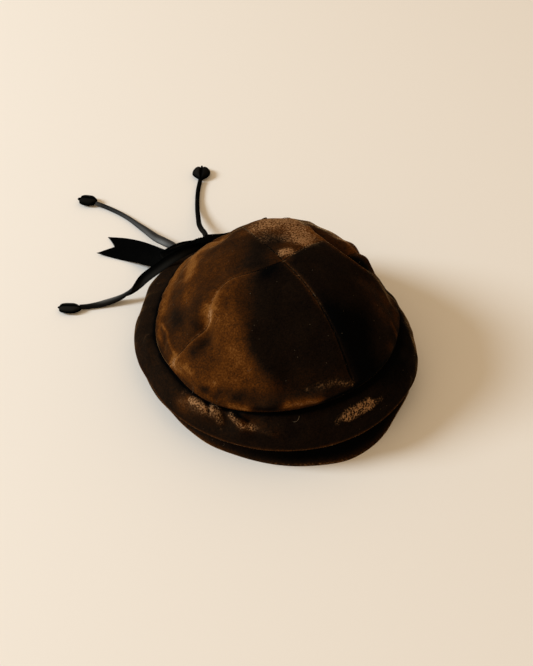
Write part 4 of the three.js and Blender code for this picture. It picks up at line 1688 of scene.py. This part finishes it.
def makeLoop(loop):
    look = loopShape
    root = np.array(loop["root"])
    reach = np.array(loop["tip"]) - root
    length = np.linalg.norm(reach)
    along = reach / length
    level = unit(np.cross(np.array([0, 0, 1.0]), along))
    lean = math.radians(loop["lean"])
    upright = np.cross(along, level) * math.cos(lean) - level * math.sin(lean)
    through = np.cross(upright, along)
    turn = -2 * math.pi * np.arange(look["turns"]) / look["turns"]
    opened = (1 - np.cos(turn)) / 2
    depth = look["depth"] / 2 * (look["rootDepth"] + (1 - look["rootDepth"]) * opened)
    far = length / 2 - (length / 2) * np.cos(turn)
    fullness = soften(0, look["fullWidthAt"], opened)
    width = look["rootWidth"] + (loop["width"] - look["rootWidth"]) * fullness
    sag = look["ripple"] * np.sin(turn * look["ripples"]) - loop["sag"] * np.sin(math.pi * opened)
    line = root + along * far[:, None] + through * (depth * np.sin(turn))[:, None] + upright * sag[:, None]
    ahead = unit(np.roll(line, -1, axis=0) - np.roll(line, 1, axis=0))
    outward = unit(np.cross(ahead, np.repeat(upright[None], len(line), axis=0)))
    shares = np.linspace(-1, 1, look["strips"])
    across = shares * width[:, None] / 2
    bow = look["crossBow"] * (1 - shares ** 2)
    outer = line[:, None] + upright * across[..., None] + outward[:, None] * bow[:, None]
    inner = outer - outward[:, None] * look["wall"]
    values = {
        "along": np.repeat(walkedAlong(line)[:, None], len(shares), axis=1),
        "across": across,
        "wearAndShine": np.repeat(look["shine"] * (1 - shares[None] ** 2) ** 2, len(line), axis=0),
    }
    mesh = shellMesh(loop["name"], outer, inner, values, look["rimSteps"])
    piece = addPiece(loop["name"], "_velvet", mesh, [blackPile, satin])


bowKnot = {
    "length": 0.0126,
    "radius": 0.0046,
    "waist": 0.0007,
    "endPower": 5,              # these two shape its rounded ends
    "endRoot": 0.4,
    "pleats": 7,
    "pleatDepth": 0.00035,
    "pleatSway": 0.8,
    "around": 60,
    "rows": 34,
}


# the knot is a short pleated wrap whose axis runs from loop to loop
def makeKnot():
    look = bowKnot
    low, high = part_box("bow_knot")
    centre = np.array((low + high) / 2) - hatAxis
    axis = unit(np.array(bowLoops[1]["root"]) - np.array(bowLoops[0]["root"]))
    upright = unit(np.array([0, 0, 1.0]) - axis * axis[2])
    side = np.cross(axis, upright)
    turn = np.linspace(0, 2 * math.pi, look["around"], endpoint=False)
    at = np.linspace(-1, 1, look["rows"])
    at, turn = np.meshgrid(at, turn, indexing="ij")
    rounded = np.maximum(0, 1 - np.abs(at) ** look["endPower"]) ** look["endRoot"]
    radius = look["radius"] * rounded - look["waist"] * (1 - at ** 2)
    pleated = np.cos(at * math.pi * look["pleats"] + look["pleatSway"] * np.sin(2 * turn))
    radius = radius + look["pleatDepth"] * pleated * rounded
    offset = axis * (at * look["length"] / 2)[..., None]
    offset = offset + upright * (radius * np.cos(turn))[..., None]
    offset = offset + side * (radius * np.sin(turn))[..., None]
    points = (centre + offset).reshape(-1, 3)
    faces = gridFaces(look["rows"], look["around"])
    values = {"wearAndShine": np.zeros(len(points))}
    mesh = makeMesh("bow_knot", points, faces, [0] * len(faces), values)
    addPiece("bow_knot", "_velvet", mesh, [blackPile])


makeTail()
for loop in bowLoops:
    makeLoop(loop)
makeKnot()
print("bow tied")

# Lint and stitches


# a tree whose inputs are the named sizes; each run sets its own
def newTree(name, sizes):
    tree = bpy.data.node_groups.new(name, "GeometryNodeTree")
    tree.interface.new_socket("Geometry", in_out="INPUT", socket_type="NodeSocketGeometry")
    for title, value in sizes.items():
        kind = "NodeSocketInt" if isinstance(value, int) else "NodeSocketFloat"
        tree.interface.new_socket(title, in_out="INPUT", socket_type=kind).default_value = value
    tree.interface.new_socket("Geometry", in_out="OUTPUT", socket_type="NodeSocketGeometry")
    given = tree.nodes.new("NodeGroupInput").outputs
    wanted = tree.nodes.new("NodeGroupOutput").inputs
    return tree, given, wanted


def placeCopies(tree, points, copy, turn, scale, material, wanted):
    inputs = {"Points": points, "Instance": copy, "Rotation": turn, "Scale": scale}
    copies = addNode(tree, "GeometryNodeInstanceOnPoints", inputs).outputs[0]
    real = addNode(tree, "GeometryNodeRealizeInstances", {"Geometry": copies}).outputs[0]
    done = addNode(tree, "GeometryNodeSetMaterial", {"Geometry": real, "Material": material}).outputs[0]
    tree.links.new(done, wanted[0])


# runs a tree on a host that is not kept, and gives the plain mesh back
def meshFromTree(tree, hostMesh, sizes):
    host = bpy.data.objects.new("host", hostMesh)
    scene.collection.objects.link(host)
    modifier = host.modifiers.new("tree", "NODES")
    modifier.node_group = tree
    for item in tree.interface.items_tree:
        if item.in_out == "INPUT" and item.name in sizes:
            modifier[item.identifier] = sizes[item.name]
    depsgraph = bpy.context.evaluated_depsgraph_get()
    mesh = bpy.data.meshes.new_from_object(host.evaluated_get(depsgraph), depsgraph=depsgraph)
    host.modifiers.remove(modifier)
    bpy.data.objects.remove(host)
    return mesh


lint = {
    "lowest": 0.003,
    "fibres": {"Number Per Area": 320.0, "Length": 0.0046, "Slimness": 0.020, "Seed": 11},
    "flecks": {"Number Per Area": 2800.0, "Length": 0.00036, "Slimness": 0.34, "Seed": 5},
    "arc": {
        "Resolution": 5,
        "Start": (-0.5, 0, 0.02),
        "Middle": (0.05, 0.55, 0.22),
        "End": (0.5, 0.05, 0.02),
    },
    "sides": 4,
    "least": 0.35,              # of the length
    "most": 1.35,
    "colour": (0.070, 0.047, 0.028, 1),
    "paler": (0.17, 0.13, 0.085, 1),
}

stitches = {
    "sizes": {"Spacing": 0.0045, "Stitch Length": 0.0030, "Thread": 0.00028},
    "sides": 6,
    "from": 0.04,               # levels on the crown
    "to": 0.97,
    "steps": 80,
    "colour": (0.018, 0.010, 0.006, 1),
    "lighter": (0.040, 0.025, 0.015, 1),
}


threadLook = {
    "spotScale": 900.0,
    "spotRange": (0.35, 0.65),
    "roughness": (0.95, 0.8),
    "specular": 0.1,
}


def makeThreadMaterial(name, dark, light):
    look = threadLook
    material, tree, shader = newMaterial(name)
    spots = remap(tree, noise(tree, objectPlace(tree), look["spotScale"], detail=2.0), *look["spotRange"])
    tree.links.new(mixColour(tree, spots, dark, light), shader.inputs["Base Color"])
    tree.links.new(remap(tree, spots, 0.0, 1.0, *look["roughness"]), shader.inputs["Roughness"])
    setShader(shader, {"Specular IOR Level": look["specular"]})
    return material


def makeLintTree(material):
    tree, given, wanted = newTree("clingingLint", lint["fibres"])
    inputs = {"Mesh": given["Geometry"], "Density": given["Number Per Area"], "Seed": given["Seed"]}
    spread = addNode(tree, "GeometryNodeDistributePointsOnFaces", inputs).outputs
    arc = addNode(tree, "GeometryNodeCurveQuadraticBezier", lint["arc"]).outputs[0]
    inputs = {"Resolution": lint["sides"], "Radius": given["Slimness"]}
    ring = addNode(tree, "GeometryNodeCurvePrimitiveCircle", inputs).outputs[0]
    inputs = {"Curve": arc, "Profile Curve": ring, "Fill Caps": True}
    fibre = addNode(tree, "GeometryNodeCurveToMesh", inputs).outputs[0]
    anyTurn = {0: (0, 0, 0), 1: (0, 0, 2 * math.pi), "Seed": given["Seed"]}
    spin = addNode(tree, "FunctionNodeRandomValue", anyTurn, data_type="FLOAT_VECTOR").outputs[0]
    spin = addNode(tree, "FunctionNodeEulerToRotation", {0: spin}).outputs[0]
    inputs = {"Rotation": spread["Rotation"], "Rotate By": spin}
    turn = addNode(tree, "FunctionNodeRotateRotation", inputs, rotation_space="LOCAL").outputs[0]
    anySize = {2: lint["least"], 3: lint["most"], "Seed": given["Seed"]}
    size = addNode(tree, "FunctionNodeRandomValue", anySize, data_type="FLOAT").outputs[1]
    size = calculate(tree, "MULTIPLY", size, given["Length"])
    placeCopies(tree, spread["Points"], fibre, turn, size, material, wanted)
    return tree


def makeStitchTree(material):
    tree, given, wanted = newTree("seamStitches", stitches["sizes"])
    path = addNode(tree, "GeometryNodeMeshToCurve", {"Mesh": given["Geometry"]}).outputs[0]
    inputs = {"Curve": path, "Length": given["Spacing"]}
    spots = addNode(tree, "GeometryNodeCurveToPoints", inputs, mode="LENGTH").outputs
    inputs = {"Vertices": stitches["sides"], "Radius": given["Thread"], "Depth": given["Stitch Length"]}
    thread = addNode(tree, "GeometryNodeMeshCylinder", inputs).outputs[0]
    inputs = {"Vector": spots["Tangent"]}
    turn = addNode(tree, "FunctionNodeAlignRotationToVector", inputs, axis="Z").outputs[0]
    placeCopies(tree, spots["Points"], thread, turn, (1, 1, 1), material, wanted)
    return tree


# the outer faces of the velvet pieces, as one mesh for lint to cling to
def pileFaces():
    points = []
    faces = []
    for piece in velvetPieces:
        mesh = piece.data
        first = len(points)
        points += [tuple(vertex.co) for vertex in mesh.vertices]
        faces += [[first + c for c in face.vertices] for face in mesh.polygons
                  if face.material_index != shellSides["inside"] and face.center.z > lint["lowest"]]
    mesh = bpy.data.meshes.new("pileFaces")
    mesh.from_pydata(points, [], faces)
    return mesh


def seamLines():
    levels = np.linspace(stitches["from"], stitches["to"], stitches["steps"])
    points = []
    edges = []
    for angles in seams.values():
        angle = smoothBetween(seamLevels, angles, levels)
        line = crownPoint(angle[None], levels[None], crown["wall"])[0, 1:]
        first = len(points)
        points += (line + hatAxis).tolist()
        edges += [(first + k, first + k + 1) for k in range(len(line) - 1)]
    mesh = bpy.data.meshes.new("seamLines")
    mesh.from_pydata(points, edges, [])
    return mesh


def addSmallWork():
    lintMaterial = makeThreadMaterial("paleLint", lint["colour"], lint["paler"])
    threadMaterial = makeThreadMaterial("brownThread", stitches["colour"], stitches["lighter"])
    lintTree = makeLintTree(lintMaterial)
    cloth = pileFaces()
    made = [
        ("lint_fibres", meshFromTree(lintTree, cloth, lint["fibres"])),
        ("lint_flecks", meshFromTree(lintTree, cloth, lint["flecks"])),
        ("seam_stitches", meshFromTree(makeStitchTree(threadMaterial), seamLines(), stitches["sizes"])),
    ]
    for name, mesh in made:
        piece = addObject(name, mesh, [])
        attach(piece, "root")
        print(name, len(mesh.polygons), "faces")


addSmallWork()
